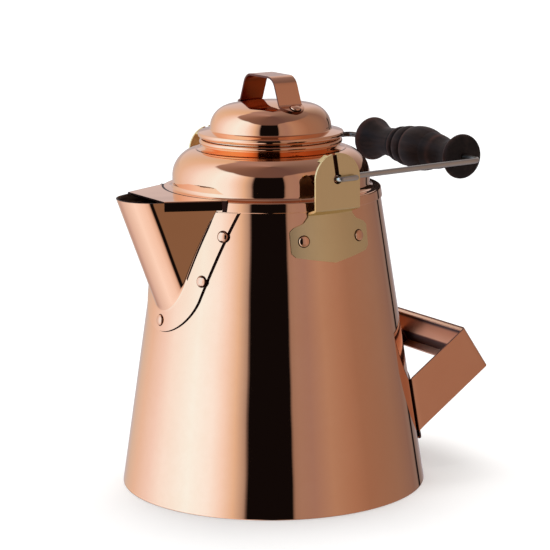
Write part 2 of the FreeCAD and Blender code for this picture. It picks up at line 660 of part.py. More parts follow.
# ---- build ----
def main():
    os.makedirs("parts", exist_ok=True)
    on_spout, on_strap, on_lid = spout_rivets(), strap_rivets(), lid_rivets()
    on_ear = [wall_rivet(side * EAR_RIVET_X, EAR_RIVET_Z, EAR_SHEET, -math.pi / 2) for side in (-1, 1)]

    body_wall = make_body_wall()
    body_wall = drill(body_wall, on_spout + on_strap + on_ear)
    body_wall = mirror_y(drill(mirror_y(body_wall), on_ear))
    spout_shell = drill(make_spout_shell(), on_spout)
    left_ear = drill(make_ear(), on_ear)
    rear_handle = drill(make_rear_handle(), on_strap)
    lid_shell = drill(make_lid_shell(), on_lid)
    lid_knob = drill(make_lid_knob(), on_lid)

    save("body_wall", body_wall)
    save("base_plate", make_base_plate())
    save("shoulder_cover", make_shoulder_cover())
    save("neck_collar", make_neck_collar())
    save("spout_shell", spout_shell)
    save("spout_cover", make_spout_cover())
    save("left_ear", left_ear)
    save("right_ear", mirror_y(left_ear))
    save("rear_handle", rear_handle)
    save("lid_shell", lid_shell)
    save("lid_plug_ring", make_lid_plug_ring())
    save("lid_knob", lid_knob)
    save("bail_wire", make_bail_wire())
    save("wood_grip", make_wood_grip())

    groups = {
        "spout": (on_spout, [spout_shell, body_wall]),
        "rear_handle": (on_strap, [rear_handle, body_wall]),
        "lid_knob": (on_lid, [lid_knob, lid_shell]),
        "left_ear": (on_ear, [left_ear, body_wall]),
    }
    for name, (rivets, sheets) in groups.items():
        pins, burrs = rivet_group(rivets, sheets)
        save(name + "_rivets", pins)
        save(name + "_burrs", burrs)
        if name == "left_ear":
            save("right_ear_rivets", mirror_y(pins))
            save("right_ear_burrs", mirror_y(burrs))


main()
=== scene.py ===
import math

import bmesh
import bpy
import numpy as np
from mathutils import Matrix, Vector


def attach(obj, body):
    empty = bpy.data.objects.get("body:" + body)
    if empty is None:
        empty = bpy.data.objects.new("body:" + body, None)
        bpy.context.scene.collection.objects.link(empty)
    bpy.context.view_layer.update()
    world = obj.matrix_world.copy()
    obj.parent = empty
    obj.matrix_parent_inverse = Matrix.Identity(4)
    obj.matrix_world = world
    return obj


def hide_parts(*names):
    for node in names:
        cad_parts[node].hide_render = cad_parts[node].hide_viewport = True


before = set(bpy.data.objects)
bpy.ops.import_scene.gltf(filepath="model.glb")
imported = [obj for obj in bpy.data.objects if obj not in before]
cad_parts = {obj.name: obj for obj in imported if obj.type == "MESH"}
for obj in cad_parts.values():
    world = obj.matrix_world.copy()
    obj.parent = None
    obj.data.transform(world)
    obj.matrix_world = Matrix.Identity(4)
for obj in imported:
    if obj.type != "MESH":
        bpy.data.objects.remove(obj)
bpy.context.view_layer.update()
SCENE = bpy.context.scene
SCENE.view_settings.view_transform = "Standard"

# Sizes are in millimetres, as on the CAD side, and meshes are written in metres.
MM = 0.001

# ---- sizes in mm, mostly the same as in the CAD ----
SHEET = 1.0
BASE_RADIUS, WALL_TAPER = 95.0, 27.0 / 178.0
FLANGE_TOP, SKIRT_BOTTOM = 186.2, 180.2
BASE_SHEET, BASE_RIM = 1.2, 9.0
DOME_FOOT, DOME_BEND, DOME_TOP, NECK_HOLE = 61.0, 17.0, 210.3, 41.0
DOME_FILLET = 4.5
COLLAR_TOP, COLLAR_BORE, COLLAR_FOOT = 218.6, 40.0, 46.6     # CAD foot 44.8
BEAD_LOW, BEAD_HIGH, BEAD_RADIUS = 212.9, 216.2, 44.1
BRIM_RADIUS, BRIM_EDGE_Z, BRIM_TOP_Z = 44.9, 218.7, 220.3
LID_WALL_RADIUS, LID_WALL_Z, LID_BEND, LID_TOP = 37.4, 222.8, 14.0, 239.2
PLUG_RADIUS, PLUG_SHEET, PLUG_BOTTOM = 39.3, 0.9, 206.0
KNOB_HALF_WIDTH, KNOB_SHEET, KNOB_TOP, KNOB_BEND = 8.0, 1.2, 255.2, 9.0
KNOB_TOP_HALF, KNOB_TOE = 16.3, 32.2                         # CAD 17.5 and 33.0
KNOB_FOOT_HALF, KNOB_FOOT_Z, KNOB_RIVET_Y = 24.5, 236.0, 29.0
SPOUT_HALF_ANGLE, NOSE_RADIUS = math.radians(25.5), 22.0
SPOUT_TIP_X, SPOUT_LEAN = -105.2, 0.382
SPOUT_FLANGE_CORNER = (46.0, 179.9)                          # CAD half width 48.3
SPOUT_FLANGE_KNEE, SPOUT_FLANGE_LOW = (31.0, 126.0), 104.3
FLANGE_STANDS = 1.3            # outer face of the riveted flange, off the body
# The cover's last size here is the radius of an arc of painted shade on its top.
COVER_FRONT, COVER_REAR, COVER_FOLD, COVER_SHADE_ARC = -87.8, -53.5, 5.0, 67.0
COVER_SIDE_REAR = -55.4
STRAINER_RADIUS, STRAINER_PITCH, STRAINER_ROWS = 3.0, 9.5, 6
STRAINER_BOTTOM, STRAINER_ROW_PITCH = 124.0, 8.5
HEAD_RADIUS, HEAD_HEIGHT, SHANK_RADIUS = 3.2, 1.6, 1.6
TAIL_RADIUS, TAIL_HEIGHT, BURR = 2.4, 1.0, 0.8
SPOUT_RIVETS = ((40.0, 165.8), (31.3, 138.3), (0.0, 110.5))
HINGE_Z, EAR_SHEET, EAR_OUTER_Y, EAR_HALF_WIDTH, EAR_HOLE = 200.0, 1.4, 76.2, 15.5, 3.0
EAR_FOOT_HALF, EAR_FOOT_LOW, EAR_FOOT_HIGH, EAR_FOOT_POINT, EAR_CORNER = 27.0, 154.0, 171.5, 149.5, 2.5
EAR_NECK_Z, EAR_FLARE = 174.5, 3.0
JOGGLE_LOW, JOGGLE_HIGH = 178.6, 181.4                       # CAD 177 and 182
SLOT_WIDTH, SLOT_LEAN = 2.8, math.radians(9.0)
TAB_ANGLE, TAB_WIDTH, TAB_DEPTH = math.radians(125.0), 6.0, 5.0
EAR_RIVET_X, EAR_RIVET_Z = 19.0, 163.2
WIRE_RADIUS, BAIL_ARM_Y, BAIL_END_Y, BAIL_END_X = 1.7, 72.8, 78.3, 13.0
BAIL_REACH, BAIL_CORNER = 106.0, 5.0
GRIP_CENTRE_Y, GRIP_HALF_LENGTH, GRIP_BORE = -4.15, 52.0, 1.78
BAIL_REST = math.radians(1.05)
STRAP_ANGLE, STRAP_WIDTH, STRAP_SHEET = math.radians(34.0), 32.0, 1.2
STRAP_CORNER, STRAP_HALF_SPAN, STRAP_BEND = (116.5, 90.0), 44.6, 3.0
STRAP_LIP_TOP, STRAP_LIP_LOW = 3.0, 6.5                      # CAD 5.7 for both
STRAP_TAB, STRAP_TAB_DROP, STRAP_RIVET_Y, STRAP_RIVET_PITCH = 15.0, 6.0, 36.0, 15.0
STRAP_ROOT_BEND = 2.8
TILT = math.atan(WALL_TAPER)


def body_radius(z):
    return BASE_RADIUS - WALL_TAPER * z


# ---- curves ----
def arc_through(a, middle, b, steps=10):
    """Points of the circle through three points, from a to b."""
    (ax, ay), (mx, my), (bx, by) = a, middle, b
    d = 2 * (ax * (my - by) + mx * (by - ay) + bx * (ay - my))
    sa, sm, sb = ax * ax + ay * ay, mx * mx + my * my, bx * bx + by * by
    cx = (sa * (my - by) + sm * (by - ay) + sb * (ay - my)) / d
    cy = (sa * (bx - mx) + sm * (ax - bx) + sb * (mx - ax)) / d
    radius = math.hypot(ax - cx, ay - cy)
    start, mid, end = (math.atan2(y - cy, x - cx) for x, y in (a, middle, b))
    whole = 2 * math.pi
    span = (end - start) % whole
    if (mid - start) % whole > span:
        span -= whole
    turns = start + span * np.linspace(0, 1, steps + 1)
    return [(cx + radius * math.cos(t), cy + radius * math.sin(t)) for t in turns]


def circle_arc(centre, radius, start, end, steps=10):
    turns = np.radians(np.linspace(start, end, steps + 1))
    return [(centre[0] + radius * math.cos(t), centre[1] + radius * math.sin(t)) for t in turns]


def rounded(points, closed=True, steps=5, gap=0.35):
    """Polyline with its corners rounded. A point is (a, b) or (a, b, radius)."""
    count = len(points)
    out = []
    for index, point in enumerate(points):
        here = np.array(point[:2], float)
        radius = point[2] if len(point) > 2 else 0
        ends = not closed and index in (0, count - 1)
        if radius <= 0 or ends:
            out.append(here)
            continue
        before = np.array(points[index - 1][:2], float) - here
        after = np.array(points[(index + 1) % count][:2], float) - here
        long_before, long_after = np.linalg.norm(before), np.linalg.norm(after)
        before, after = before / long_before, after / long_after
        corner = math.acos(np.clip(before @ after, -1, 1))
        cut = min(radius / math.tan(corner / 2), 0.45 * long_before, 0.45 * long_after)
        swept = math.pi - corner
        centre = here + (before + after) / np.linalg.norm(before + after) * cut / math.cos(corner / 2)
        first, last = here + before * cut - centre, here + after * cut - centre
        for share in np.linspace(0, 1, steps + 1):
            out.append(centre + (first * math.sin((1 - share) * swept)
                                 + last * math.sin(share * swept)) / math.sin(swept))
    return held(out, closed, gap)


def held(points, closed=True, gap=0.35):
    """Adds a point near each end of a long run, so that smooth shading stays flat between its corners."""
    points = [np.array(point, float) for point in points]
    out = []
    pairs = zip(points, points[1:] + points[:1]) if closed else zip(points, points[1:])
    for a, b in pairs:
        out.append(a)
        run = np.linalg.norm(b - a)
        if run > 4 * gap:
            out += [a + (b - a) * gap / run, b - (b - a) * gap / run]
    if not closed:
        out.append(points[-1])
    return np.array(out)


def smooth_through(points, per_span=6):
    """Catmull-Rom curve through points."""
    points = np.array(points, float)
    padded = np.vstack([2 * points[0] - points[1], points, 2 * points[-1] - points[-2]])
    out = []
    for p0, p1, p2, p3 in zip(padded, padded[1:], padded[2:], padded[3:]):
        for t in np.linspace(0, 1, per_span, endpoint=False):
            out.append(0.5 * (2 * p1 + (p2 - p0) * t + (2 * p0 - 5 * p1 + 4 * p2 - p3) * t ** 2
                              + (3 * p1 - p0 - 3 * p2 + p3) * t ** 3))
    return out + [points[-1]]


def ease(x, low, high):
    t = np.clip((x - low) / (high - low), 0, 1)
    return t * t * (3 - 2 * t)


# ---- shapes: (vertices in mm, faces) ----
def grid_shape(points, wrap=False):
    """Quads over an array of points, rows by columns by 3; wrap joins the last column to the first."""
    rows, columns = points.shape[:2]
    faces = []
    for i in range(rows - 1):
        for j in range(columns if wrap else columns - 1):
            k = (j + 1) % columns
            faces.append((i * columns + j, i * columns + k, (i + 1) * columns + k, (i + 1) * columns + j))
    return points.reshape(-1, 3), faces


def turned(profile, turns=256):
    """A closed profile of (radius, height) turned about Z."""
    profile = np.array(profile, float)
    profile = np.vstack([profile, profile[:1]])
    angle = np.linspace(0, 2 * math.pi, turns, endpoint=False)
    radius, height = profile[:, 0, None], profile[:, 1, None]
    points = np.stack([radius * np.cos(angle), radius * np.sin(angle), height + 0 * angle], -1)
    return grid_shape(points, wrap=True)


def tube(path, radius, sides=28):
    """Round wire along a path, with rounded ends."""
    path = np.array(path, float)
    tangent = np.gradient(path, axis=0)
    tangent /= np.linalg.norm(tangent, axis=1)[:, None]
    up = np.array([0.0, 0.0, 1.0])
    side = np.cross(tangent, up)
    side /= np.linalg.norm(side, axis=1)[:, None]
    angle = np.linspace(0, 2 * math.pi, sides, endpoint=False)[None, :, None]
    rings = []
    for centre, forward, across, sign in ((0, tangent[0], side[0], -1), (-1, tangent[-1], side[-1], 1)):
        turns = np.linspace(math.pi / 2, 0, 6)[:-1]
        turns = turns if sign < 0 else turns[::-1]
        for turn in turns:
            middle = path[centre] + sign * forward * radius * math.sin(turn)
            ring = middle + radius * math.cos(turn) * (
                across * np.cos(angle[0]) + np.cross(across, forward) * np.sin(angle[0]))
            rings.append(ring)
    upright = np.cross(side, tangent)
    wall = path[:, None] + radius * (side[:, None] * np.cos(angle) + upright[:, None] * np.sin(angle))
    half = len(rings) // 2
    points = np.concatenate([np.array(rings[:half]), wall, np.array(rings[half:])])
    return grid_shape(points, wrap=True)


def moved(shape, matrix):
    points, faces = shape
    matrix = np.array(matrix)
    return points @ matrix[:3, :3].T + matrix[:3, 3], faces


def mirrored(shape):
    """The same shape on the other side of the plane through the spout and the strap handle."""
    points, faces = shape
    return points * np.array([1, -1, 1]), [face[::-1] for face in faces]


def joined(shapes):
    points, faces, start = [], [], 0
    for some_points, some_faces in shapes:
        points.append(some_points)
        faces += [tuple(corner + start for corner in face) for face in some_faces]
        start += len(some_points)
    return np.vstack(points), faces


def box_shape(xs, ys, zs):
    corners = np.array([[x, y, z] for x in xs for y in ys for z in zs])
    return corners, [(0, 1, 3, 2), (4, 6, 7, 5), (0, 4, 5, 1), (2, 3, 7, 6), (0, 2, 6, 4), (1, 5, 7, 3)]


def frame_at(seat, normal):
    """Matrix that stands a turned shape on a seat, along a normal."""
    rotation = Vector(normal).to_track_quat("Z", "Y").to_matrix().to_4x4()
    return Matrix.Translation(Vector(seat)) @ rotation


# ---- meshes and pieces ----
def mesh_object(name, shape, materials, sharp=38.0, inside_out=None):
    """Object from a shape. inside_out is None for a closed shape, whose faces are turned outwards."""
    points, faces = shape
    mesh = bpy.data.meshes.new(name)
    mesh.from_pydata((points * MM).tolist(), [], faces)
    work = bmesh.new()
    work.from_mesh(mesh)
    bmesh.ops.remove_doubles(work, verts=work.verts, dist=2e-6)
    bmesh.ops.dissolve_degenerate(work, edges=work.edges, dist=1e-6)
    if inside_out is None:
        bmesh.ops.recalc_face_normals(work, faces=work.faces)
    elif inside_out:
        bmesh.ops.reverse_faces(work, faces=work.faces)
    work.to_mesh(mesh)
    work.free()
    mesh.polygons.foreach_set("use_smooth", [True] * len(mesh.polygons))
    mesh.set_sharp_from_angle(angle=math.radians(sharp))
    for material in materials:
        mesh.materials.append(material)
    made = bpy.data.objects.new(name, mesh)
    SCENE.collection.objects.link(made)
    return made


def thicken(piece, thickness, lined=False, edge=0.0):
    """Gives a sheet its thickness, inwards, with its last material on its cut edges, and softens them when an
    edge width is given.
    """
    solid = piece.modifiers.new("sheet", "SOLIDIFY")
    solid.thickness, solid.offset = thickness * MM, -1
    solid.use_even_offset = True
    solid.use_quality_normals = True
    solid.material_offset_rim = len(piece.data.materials) - 1
    if lined:
        solid.material_offset = 1
    if edge:
        soften(piece, edge)


def soften(piece, edge):
    bevel = piece.modifiers.new("edges", "BEVEL")
    bevel.width, bevel.segments = edge * MM, 2
    bevel.limit_method, bevel.angle_limit = "ANGLE", math.radians(50)
    bevel.harden_normals = True


def settle(piece):
    """Applies a piece's modifiers."""
    graph = bpy.context.evaluated_depsgraph_get()
    mesh = bpy.data.meshes.new_from_object(piece.evaluated_get(graph))
    piece.modifiers.clear()
    piece.data = mesh


def merge(piece, extra, index=0):
    """Adds another object's mesh to a piece, in the piece's material of that index."""
    extra.data.polygons.foreach_set("material_index", [index] * len(extra.data.polygons))
    work = bmesh.new()
    work.from_mesh(piece.data)
    work.from_mesh(extra.data)
    bpy.data.objects.remove(extra)
    work.to_mesh(piece.data)
    work.free()


def cut_away(piece, shape):
    """Cuts a closed shape out of a piece."""
    cutter = mesh_object("cutter", shape, [])
    cut = piece.modifiers.new("cut", "BOOLEAN")
    cut.object, cut.operation, cut.solver = cutter, "DIFFERENCE", "EXACT"
    settle(piece)
    bpy.data.objects.remove(cutter)
    piece.data.set_sharp_from_angle(angle=math.radians(38))


def place(piece, body, slot, *stands_for):
    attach(piece, body)
    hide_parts(*stands_for)
    return piece


# ---- material nodes ----
def put(tree, kind, inputs=None, **settings):
    """Adds a node, sets its properties, and sets or links its inputs."""
    made = tree.nodes.new("ShaderNode" + kind)
    for key, value in settings.items():
        setattr(made, key, value)
    for key, value in (inputs or {}).items():
        if isinstance(value, bpy.types.NodeSocket):
            tree.links.new(value, made.inputs[key])
        else:
            made.inputs[key].default_value = value
    return made


def maths(tree, operation, *values):
    return put(tree, "Math", dict(enumerate(values)), operation=operation).outputs[0]


def ramp(tree, factor, stops):
    made = put(tree, "ValToRGB", {0: factor})
    elements = made.color_ramp.elements
    elements.remove(elements[-1])
    for index, (position, colour) in enumerate(stops):
        element = elements[0] if index == 0 else elements.new(position)
        element.position = position
        element.color = (*colour, 1.0) if isinstance(colour, tuple) else (colour, colour, colour, 1.0)
    return made.outputs[0]


def mixed(tree, factor, a, b, blend="MIX"):
    made = put(tree, "Mix", {0: factor, 6: a, 7: b}, data_type="RGBA", blend_type=blend)
    return made.outputs[2]


def rescaled(tree, value, low, high, to_low=0.0, to_high=1.0, smooth=False):
    made = put(tree, "MapRange", {0: value, 1: low, 2: high, 3: to_low, 4: to_high},
               interpolation_type="SMOOTHSTEP" if smooth else "LINEAR")
    return made.outputs[0]


def noise(tree, scale, detail=2.0, roughness=0.5, stretch=(1, 1, 1), distortion=0.0):
    """Noise in the piece's own metres, stretched along an axis."""
    place_in = put(tree, "TexCoord").outputs["Object"]
    mapped = put(tree, "Mapping", {"Vector": place_in, "Scale": stretch}).outputs[0]
    return put(tree, "TexNoise", {"Vector": mapped, "Scale": scale, "Detail": detail,
                                  "Roughness": roughness, "Distortion": distortion}).outputs[0]


def surface(name, colour, rough, bumps, metallic=1.0, specular=0.5):
    """Material from a colour, a roughness and bumps; each is a function that adds its nodes."""
    material = bpy.data.materials.new(name)
    material.use_nodes = True
    tree = material.node_tree
    shader = tree.nodes["Principled BSDF"]
    shader.inputs["Metallic"].default_value = metallic
    shader.inputs["Specular IOR Level"].default_value = specular
    tree.links.new(colour(tree), shader.inputs["Base Color"])
    tree.links.new(rough(tree), shader.inputs["Roughness"])
    normal = None
    for strength, distance, height in bumps:
        bump = put(tree, "Bump", {"Strength": strength, "Distance": distance, "Height": height(tree)})
        if normal:
            tree.links.new(normal, bump.inputs["Normal"])
        normal = bump.outputs[0]
    if normal:
        tree.links.new(normal, shader.inputs["Normal"])
    return material


def metal(name, light, dark, low, high, wave=0.0006, grain=4e-6, grain_stretch=(1, 1, 1)):
    """Sheet metal: slow tone drift, rubbed roughness, gentle waviness and fine polishing grain."""
    def colour(tree):
        drift = rescaled(tree, noise(tree, 9, 4, 0.55), 0.38, 0.66)
        fine = rescaled(tree, noise(tree, 190, 3, 0.6), 0.35, 0.75, 0.0, 0.35)
        tone = mixed(tree, drift, (*light, 1), (*dark, 1))
        return mixed(tree, fine, tone, (*dark, 1))

    def rough(tree):
        rub = maths(tree, "ADD", noise(tree, 26, 4, 0.6), noise(tree, 900, 2, 0.5, grain_stretch))
        return rescaled(tree, rub, 0.75, 1.3, low, high)

    return surface(name, colour, rough, [
        (1.0, wave, lambda tree: noise(tree, 15, 1.5, 0.4)),
        (1.0, grain, lambda tree: noise(tree, 1500, 2, 0.5, grain_stretch)),
    ])


COPPER_LIGHT, COPPER_DARK = (0.955, 0.550, 0.312), (0.925, 0.505, 0.272)
polished = metal("polished_copper", COPPER_LIGHT, COPPER_DARK, 0.012, 0.045, grain_stretch=(0.12, 0.12, 1))
brushed = metal("brushed_copper", (0.90, 0.505, 0.295), (0.84, 0.445, 0.250), 0.12, 0.22,
                grain=1.4e-5, grain_stretch=(0.1, 1, 1))
# Painted shade: a dark copy of copper for the inside face of the strap knob.
inner = metal("knob_inside_painted_shade", (0.42, 0.14, 0.055), (0.30, 0.09, 0.035), 0.18, 0.28,
              wave=0.0003, grain=1e-5)
riveted = metal("rivet_copper", (0.93, 0.535, 0.31), (0.84, 0.445, 0.25), 0.05, 0.12,
                wave=0.0002, grain=6e-6)
# Painted highlight: a lighter, paler copy of copper, with a satin roughness, for the strap's folded lips.
lit_satin = metal("satin_copper_painted_highlight", (0.97, 0.66, 0.45), (0.92, 0.60, 0.40), 0.42, 0.52,
              wave=0.0002, grain=1e-5)
# Painted shade: dark copper on the cut edges of the knob and strap, drawing a dark outline along them.
painted_edge_shade = metal("painted_edge_shade", (0.20, 0.075, 0.045), (0.10, 0.035, 0.022), 0.25, 0.40,
                 wave=0.0002, grain=1e-5)
# Painted shade: near-black copper for dark lines and patches at the spout's crease and flange edge, the cover's
# arc and fold ends, the rivet rings, the strap's root bends, behind the ears' slots and holes, and on the cut
# edges of the spout and cover.
painted_shade = metal("seam_painted_shade", (0.045, 0.016, 0.010), (0.025, 0.010, 0.007), 0.45, 0.60,
              wave=0.0002, grain=1e-5)
# Painted shade: dark brass for the back face of the left ear.
brass_back_shade = metal("brass_back_painted_shade", (0.16, 0.11, 0.06), (0.09, 0.06, 0.035), 0.40, 0.55,
                wave=0.0003, grain=1e-5)
lining = metal("tinned_lining", (0.60, 0.56, 0.52), (0.42, 0.37, 0.34), 0.28, 0.45, grain=1e-5)
brass = metal("satin_brass", (0.88, 0.735, 0.375), (0.84, 0.69, 0.345), 0.30, 0.38,
              wave=0.0003, grain=1.2e-5, grain_stretch=(1, 1, 0.1))


def fine_grain(tree):
    return noise(tree, 1500, 2, 0.5)


def wire_colour_and_shade(tree):
    """Bright steel, darkened towards the right ear by painted shade."""
    drift = rescaled(tree, noise(tree, 40, 3, 0.55), 0.38, 0.66)
    bright = mixed(tree, drift, (0.57, 0.56, 0.47, 1), (0.51, 0.49, 0.41, 1))
    y = put(tree, "SeparateXYZ", {0: put(tree, "TexCoord").outputs["Object"]}).outputs[1]
    # Painted shade: the wire turns dark from 45 to 60 mm towards +Y.
    return mixed(tree, rescaled(tree, y, 0.045, 0.06, smooth=True), bright, (0.12, 0.10, 0.08, 1))


def wire_rough(tree):
    return rescaled(tree, noise(tree, 300, 2, 0.5), 0.3, 0.7, 0.28, 0.36)


def strap_axes():
    """Outer top corner of the strap handle, its outward direction, and the direction across its width."""
    corner = np.array([STRAP_CORNER[0], 0, STRAP_CORNER[1]])
    out = np.array([math.cos(STRAP_ANGLE), 0, math.sin(STRAP_ANGLE)])
    across = np.array([math.sin(STRAP_ANGLE), 0, -math.cos(STRAP_ANGLE)])
    return corner, out, across


def shaded_colour(tree):
    """Painted light inside the strap handle, across its width: a painted highlight in the middle, painted shade
    beside the folded lips.
    """
    corner, _, across = strap_axes()
    inside = put(tree, "TexCoord").outputs["Object"]
    toward = put(tree, "VectorMath", {0: inside, 1: tuple(across)}, operation="DOT_PRODUCT")
    start = float(corner @ across) * MM
    q = rescaled(tree, toward.outputs["Value"], start, start + STRAP_WIDTH * MM)
    dark, warm, bright = (0.055, 0.018, 0.010), (0.86, 0.40, 0.20), (1.0, 0.54, 0.31)
    return ramp(tree, q, [(0.0, dark), (0.17, dark), (0.24, (0.74, 0.32, 0.16)), (0.42, warm),
                          (0.66, bright), (0.70, (0.25, 0.08, 0.04)), (0.73, dark), (0.95, dark)])


def shaded_rough(tree):
    return rescaled(tree, noise(tree, 60, 3, 0.5), 0.3, 0.7, 0.34, 0.44)


steel = surface("steel_wire", wire_colour_and_shade, wire_rough, [(1.0, 3e-6, fine_grain)])
shaded = surface("shaded_copper", shaded_colour, shaded_rough, [(1.0, 1e-5, fine_grain)])


def wood_colour(tree):
    grain = noise(tree, 55, 6, 0.62, (1, 0.12, 1), 1.2)
    pores = noise(tree, 420, 4, 0.6, (1, 0.06, 1))
    dark = ramp(tree, grain, [(0.3, (0.011, 0.0075, 0.0065)), (0.5, (0.022, 0.0140, 0.0120)),
                              (0.72, (0.046, 0.026, 0.020))])
    flecked = mixed(tree, rescaled(tree, pores, 0.5, 0.75, 0.0, 0.6), dark, (0.008, 0.0055, 0.005, 1))
    wear = put(tree, "Attribute", attribute_name="wear").outputs["Fac"]
    patch = rescaled(tree, noise(tree, 90, 3, 0.6), 0.35, 0.65, 0.25, 1.0)
    worn = mixed(tree, maths(tree, "MULTIPLY", wear, patch), flecked, (0.085, 0.034, 0.025, 1))
    # Painted shade: darker wood just before each groove, past the last bead and on the grip's near end.
    painted_shade_marks = put(tree, "Attribute", attribute_name="painted_shade_marks").outputs["Fac"]
    return mixed(tree, painted_shade_marks, worn, (0.004, 0.0034, 0.0032, 1))


def wood_rough(tree):
    return rescaled(tree, noise(tree, 160, 4, 0.6, (1, 0.1, 1)), 0.3, 0.7, 0.42, 0.62)


wood = surface("dark_rosewood", wood_colour, wood_rough, [
    (0.5, 0.00012, lambda tree: noise(tree, 420, 4, 0.6, (1, 0.06, 1))),
    (0.5, 0.0004, lambda tree: noise(tree, 45, 3, 0.5, (1, 0.2, 1))),
], metallic=0.0, specular=0.08)


# ---- turned pieces ----
def body_wall():
    top = FLANGE_TOP - SHEET
    profile = rounded([
        (body_radius(0), 0, 0.7), (body_radius(top), top, 0.2),
        (body_radius(top) - SHEET, top, 0.2), (body_radius(0) - SHEET, 0, 0.2)])
    piece = mesh_object("kettle_wall", turned(profile), [polished, lining])
    holes = []
    for row in range(STRAINER_ROWS):
        z = STRAINER_BOTTOM + row * STRAINER_ROW_PITCH
        for index in range(row + 2):
            y = (index - (row + 1) / 2) * STRAINER_PITCH
            drill = [(0, 0), (STRAINER_RADIUS, 0), (STRAINER_RADIUS, 40), (0, 40)]
            holes.append(moved(turned(drill, 24), frame_at((-BASE_RADIUS, y, z), (1, 0, 0))))
    cut_away(piece, joined(holes))
    return place(piece, "kettle", "copper", "body_wall")


def base_pan():
    outer, inner = SHEET, SHEET + BASE_SHEET
    profile = rounded([
        (0, 0), (body_radius(0) - outer, 0, 0.3), (body_radius(BASE_RIM) - outer, BASE_RIM, 0.4),
        (body_radius(BASE_RIM) - inner, BASE_RIM, 0.4), (body_radius(BASE_SHEET) - inner, BASE_SHEET, 1.5),
        (0, BASE_SHEET)])
    piece = mesh_object("base_pan", turned(profile, 192), [brushed])
    return place(piece, "kettle", "copper", "base_plate")


def shoulder():
    under, bend_z = FLANGE_TOP - SHEET, DOME_TOP - DOME_BEND
    centre = (DOME_FOOT - DOME_BEND, bend_z)
    flange = body_radius(FLANGE_TOP) + SHEET
    outside = [(body_radius(SKIRT_BOTTOM) + SHEET, SKIRT_BOTTOM, 0.35), (flange, FLANGE_TOP, 0.9),
               (DOME_FOOT, FLANGE_TOP, DOME_FILLET), (DOME_FOOT, bend_z)]
    crown = circle_arc(centre, DOME_BEND, 0, 90, 28)
    mouth = [(NECK_HOLE, DOME_TOP), (NECK_HOLE, DOME_TOP - SHEET)]
    under_crown = circle_arc(centre, DOME_BEND - SHEET, 90, 0, 20)
    inside = [(DOME_FOOT - SHEET, under), (body_radius(under), under, 0.3),
              (body_radius(SKIRT_BOTTOM), SKIRT_BOTTOM, 0.3)]
    profile = rounded(outside + crown[1:] + mouth + under_crown + inside)
    piece = mesh_object("shoulder_dome", turned(profile), [polished])
    return place(piece, "kettle", "copper", "shoulder_cover")


def collar():
    tube_radius = COLLAR_BORE + SHEET
    neck = tube_radius + 0.9
    middle = (BEAD_LOW + BEAD_HIGH) / 2
    profile = [(tube_radius, DOME_TOP - 3), (tube_radius, DOME_TOP)]
    cove = (tube_radius + 2.2, DOME_TOP + 0.9)
    profile += arc_through((COLLAR_FOOT, DOME_TOP), cove, (neck, DOME_TOP + 2.3))
    profile += arc_through((neck, BEAD_LOW), (BEAD_RADIUS, middle), (neck, BEAD_HIGH), 14)
    profile += [(neck, COLLAR_TOP, 0.4), (COLLAR_BORE, COLLAR_TOP, 0.4)]
    profile += arc_through((COLLAR_BORE, BEAD_HIGH), (BEAD_RADIUS - SHEET, middle), (COLLAR_BORE, BEAD_LOW))
    profile += [(COLLAR_BORE, DOME_TOP - 3)]
    piece = mesh_object("neck_ring", turned(rounded(profile, gap=0.2)), [polished], sharp=50)
    return place(piece, "kettle", "copper", "neck_collar")


def lid_circles():
    """Centres and radii of the lid's bend and crown, and the angle where they meet."""
    across, drop = LID_WALL_RADIUS - LID_BEND, LID_TOP - LID_WALL_Z
    crown = (across ** 2 + drop ** 2 - LID_BEND ** 2) / (2 * (drop - LID_BEND))
    rise = math.degrees(math.atan2(LID_WALL_Z - (LID_TOP - crown), across))
    return (across, LID_WALL_Z), (0.0, LID_TOP - crown), crown, rise


def lid_height(radius, offset):
    """Height of the lid's outer surface at a radius, moved out by an offset."""
    bend, middle, crown, rise = lid_circles()
    edge = bend[0] + (LID_BEND + offset) * math.cos(math.radians(rise))
    on_crown = middle[1] + np.sqrt(np.maximum((crown + offset) ** 2 - radius ** 2, 0))
    on_bend = bend[1] + np.sqrt(np.maximum((LID_BEND + offset) ** 2 - (radius - bend[0]) ** 2, 0))
    return np.where(radius < edge, on_crown, on_bend)


def lid_arcs(offset):
    bend, middle, crown, rise = lid_circles()
    first = circle_arc(bend, LID_BEND + offset, 0, rise, 28)
    return first + circle_arc(middle, crown + offset, rise, 90, 18)[1:]


def brim_under(radius):
    slope = (LID_WALL_Z - 0.8 - BRIM_TOP_Z) / (BRIM_RADIUS - 0.3 - LID_WALL_RADIUS - 1.0)
    return BRIM_TOP_Z - SHEET + slope * (BRIM_RADIUS - 0.3 - radius)


def lid():
    lip, wall_in, lip_z = BRIM_RADIUS - 1.3, LID_WALL_RADIUS - SHEET, BRIM_EDGE_Z - 1.7
    profile = arc_through((lip, lip_z), (BRIM_RADIUS, BRIM_EDGE_Z), (BRIM_RADIUS - 0.3, BRIM_TOP_Z), 8)
    profile[-1] = (*profile[-1], 0.5)
    profile += [(LID_WALL_RADIUS + 0.2, LID_WALL_Z - 1.0, 1.2)]
    profile += lid_arcs(0) + lid_arcs(-SHEET)[::-1]
    profile += [(wall_in, brim_under(wall_in), 0.3), (lip - 0.4, brim_under(lip - 0.4), 0.3)]
    profile += [(lip - 0.4, lip_z)]
    piece = mesh_object("lid_dome", turned(rounded(profile, gap=0.25)), [polished], sharp=50)
    place(piece, "lid", "copper", "lid_shell")
    inside = PLUG_RADIUS - PLUG_SHEET
    ring = rounded([(inside, PLUG_BOTTOM, 0.3), (PLUG_RADIUS, PLUG_BOTTOM, 0.3),
                    (PLUG_RADIUS, brim_under(PLUG_RADIUS)), (inside, brim_under(inside))])
    place(mesh_object("lid_plug", turned(ring, 192), [polished]), "lid", "copper", "lid_plug_ring")


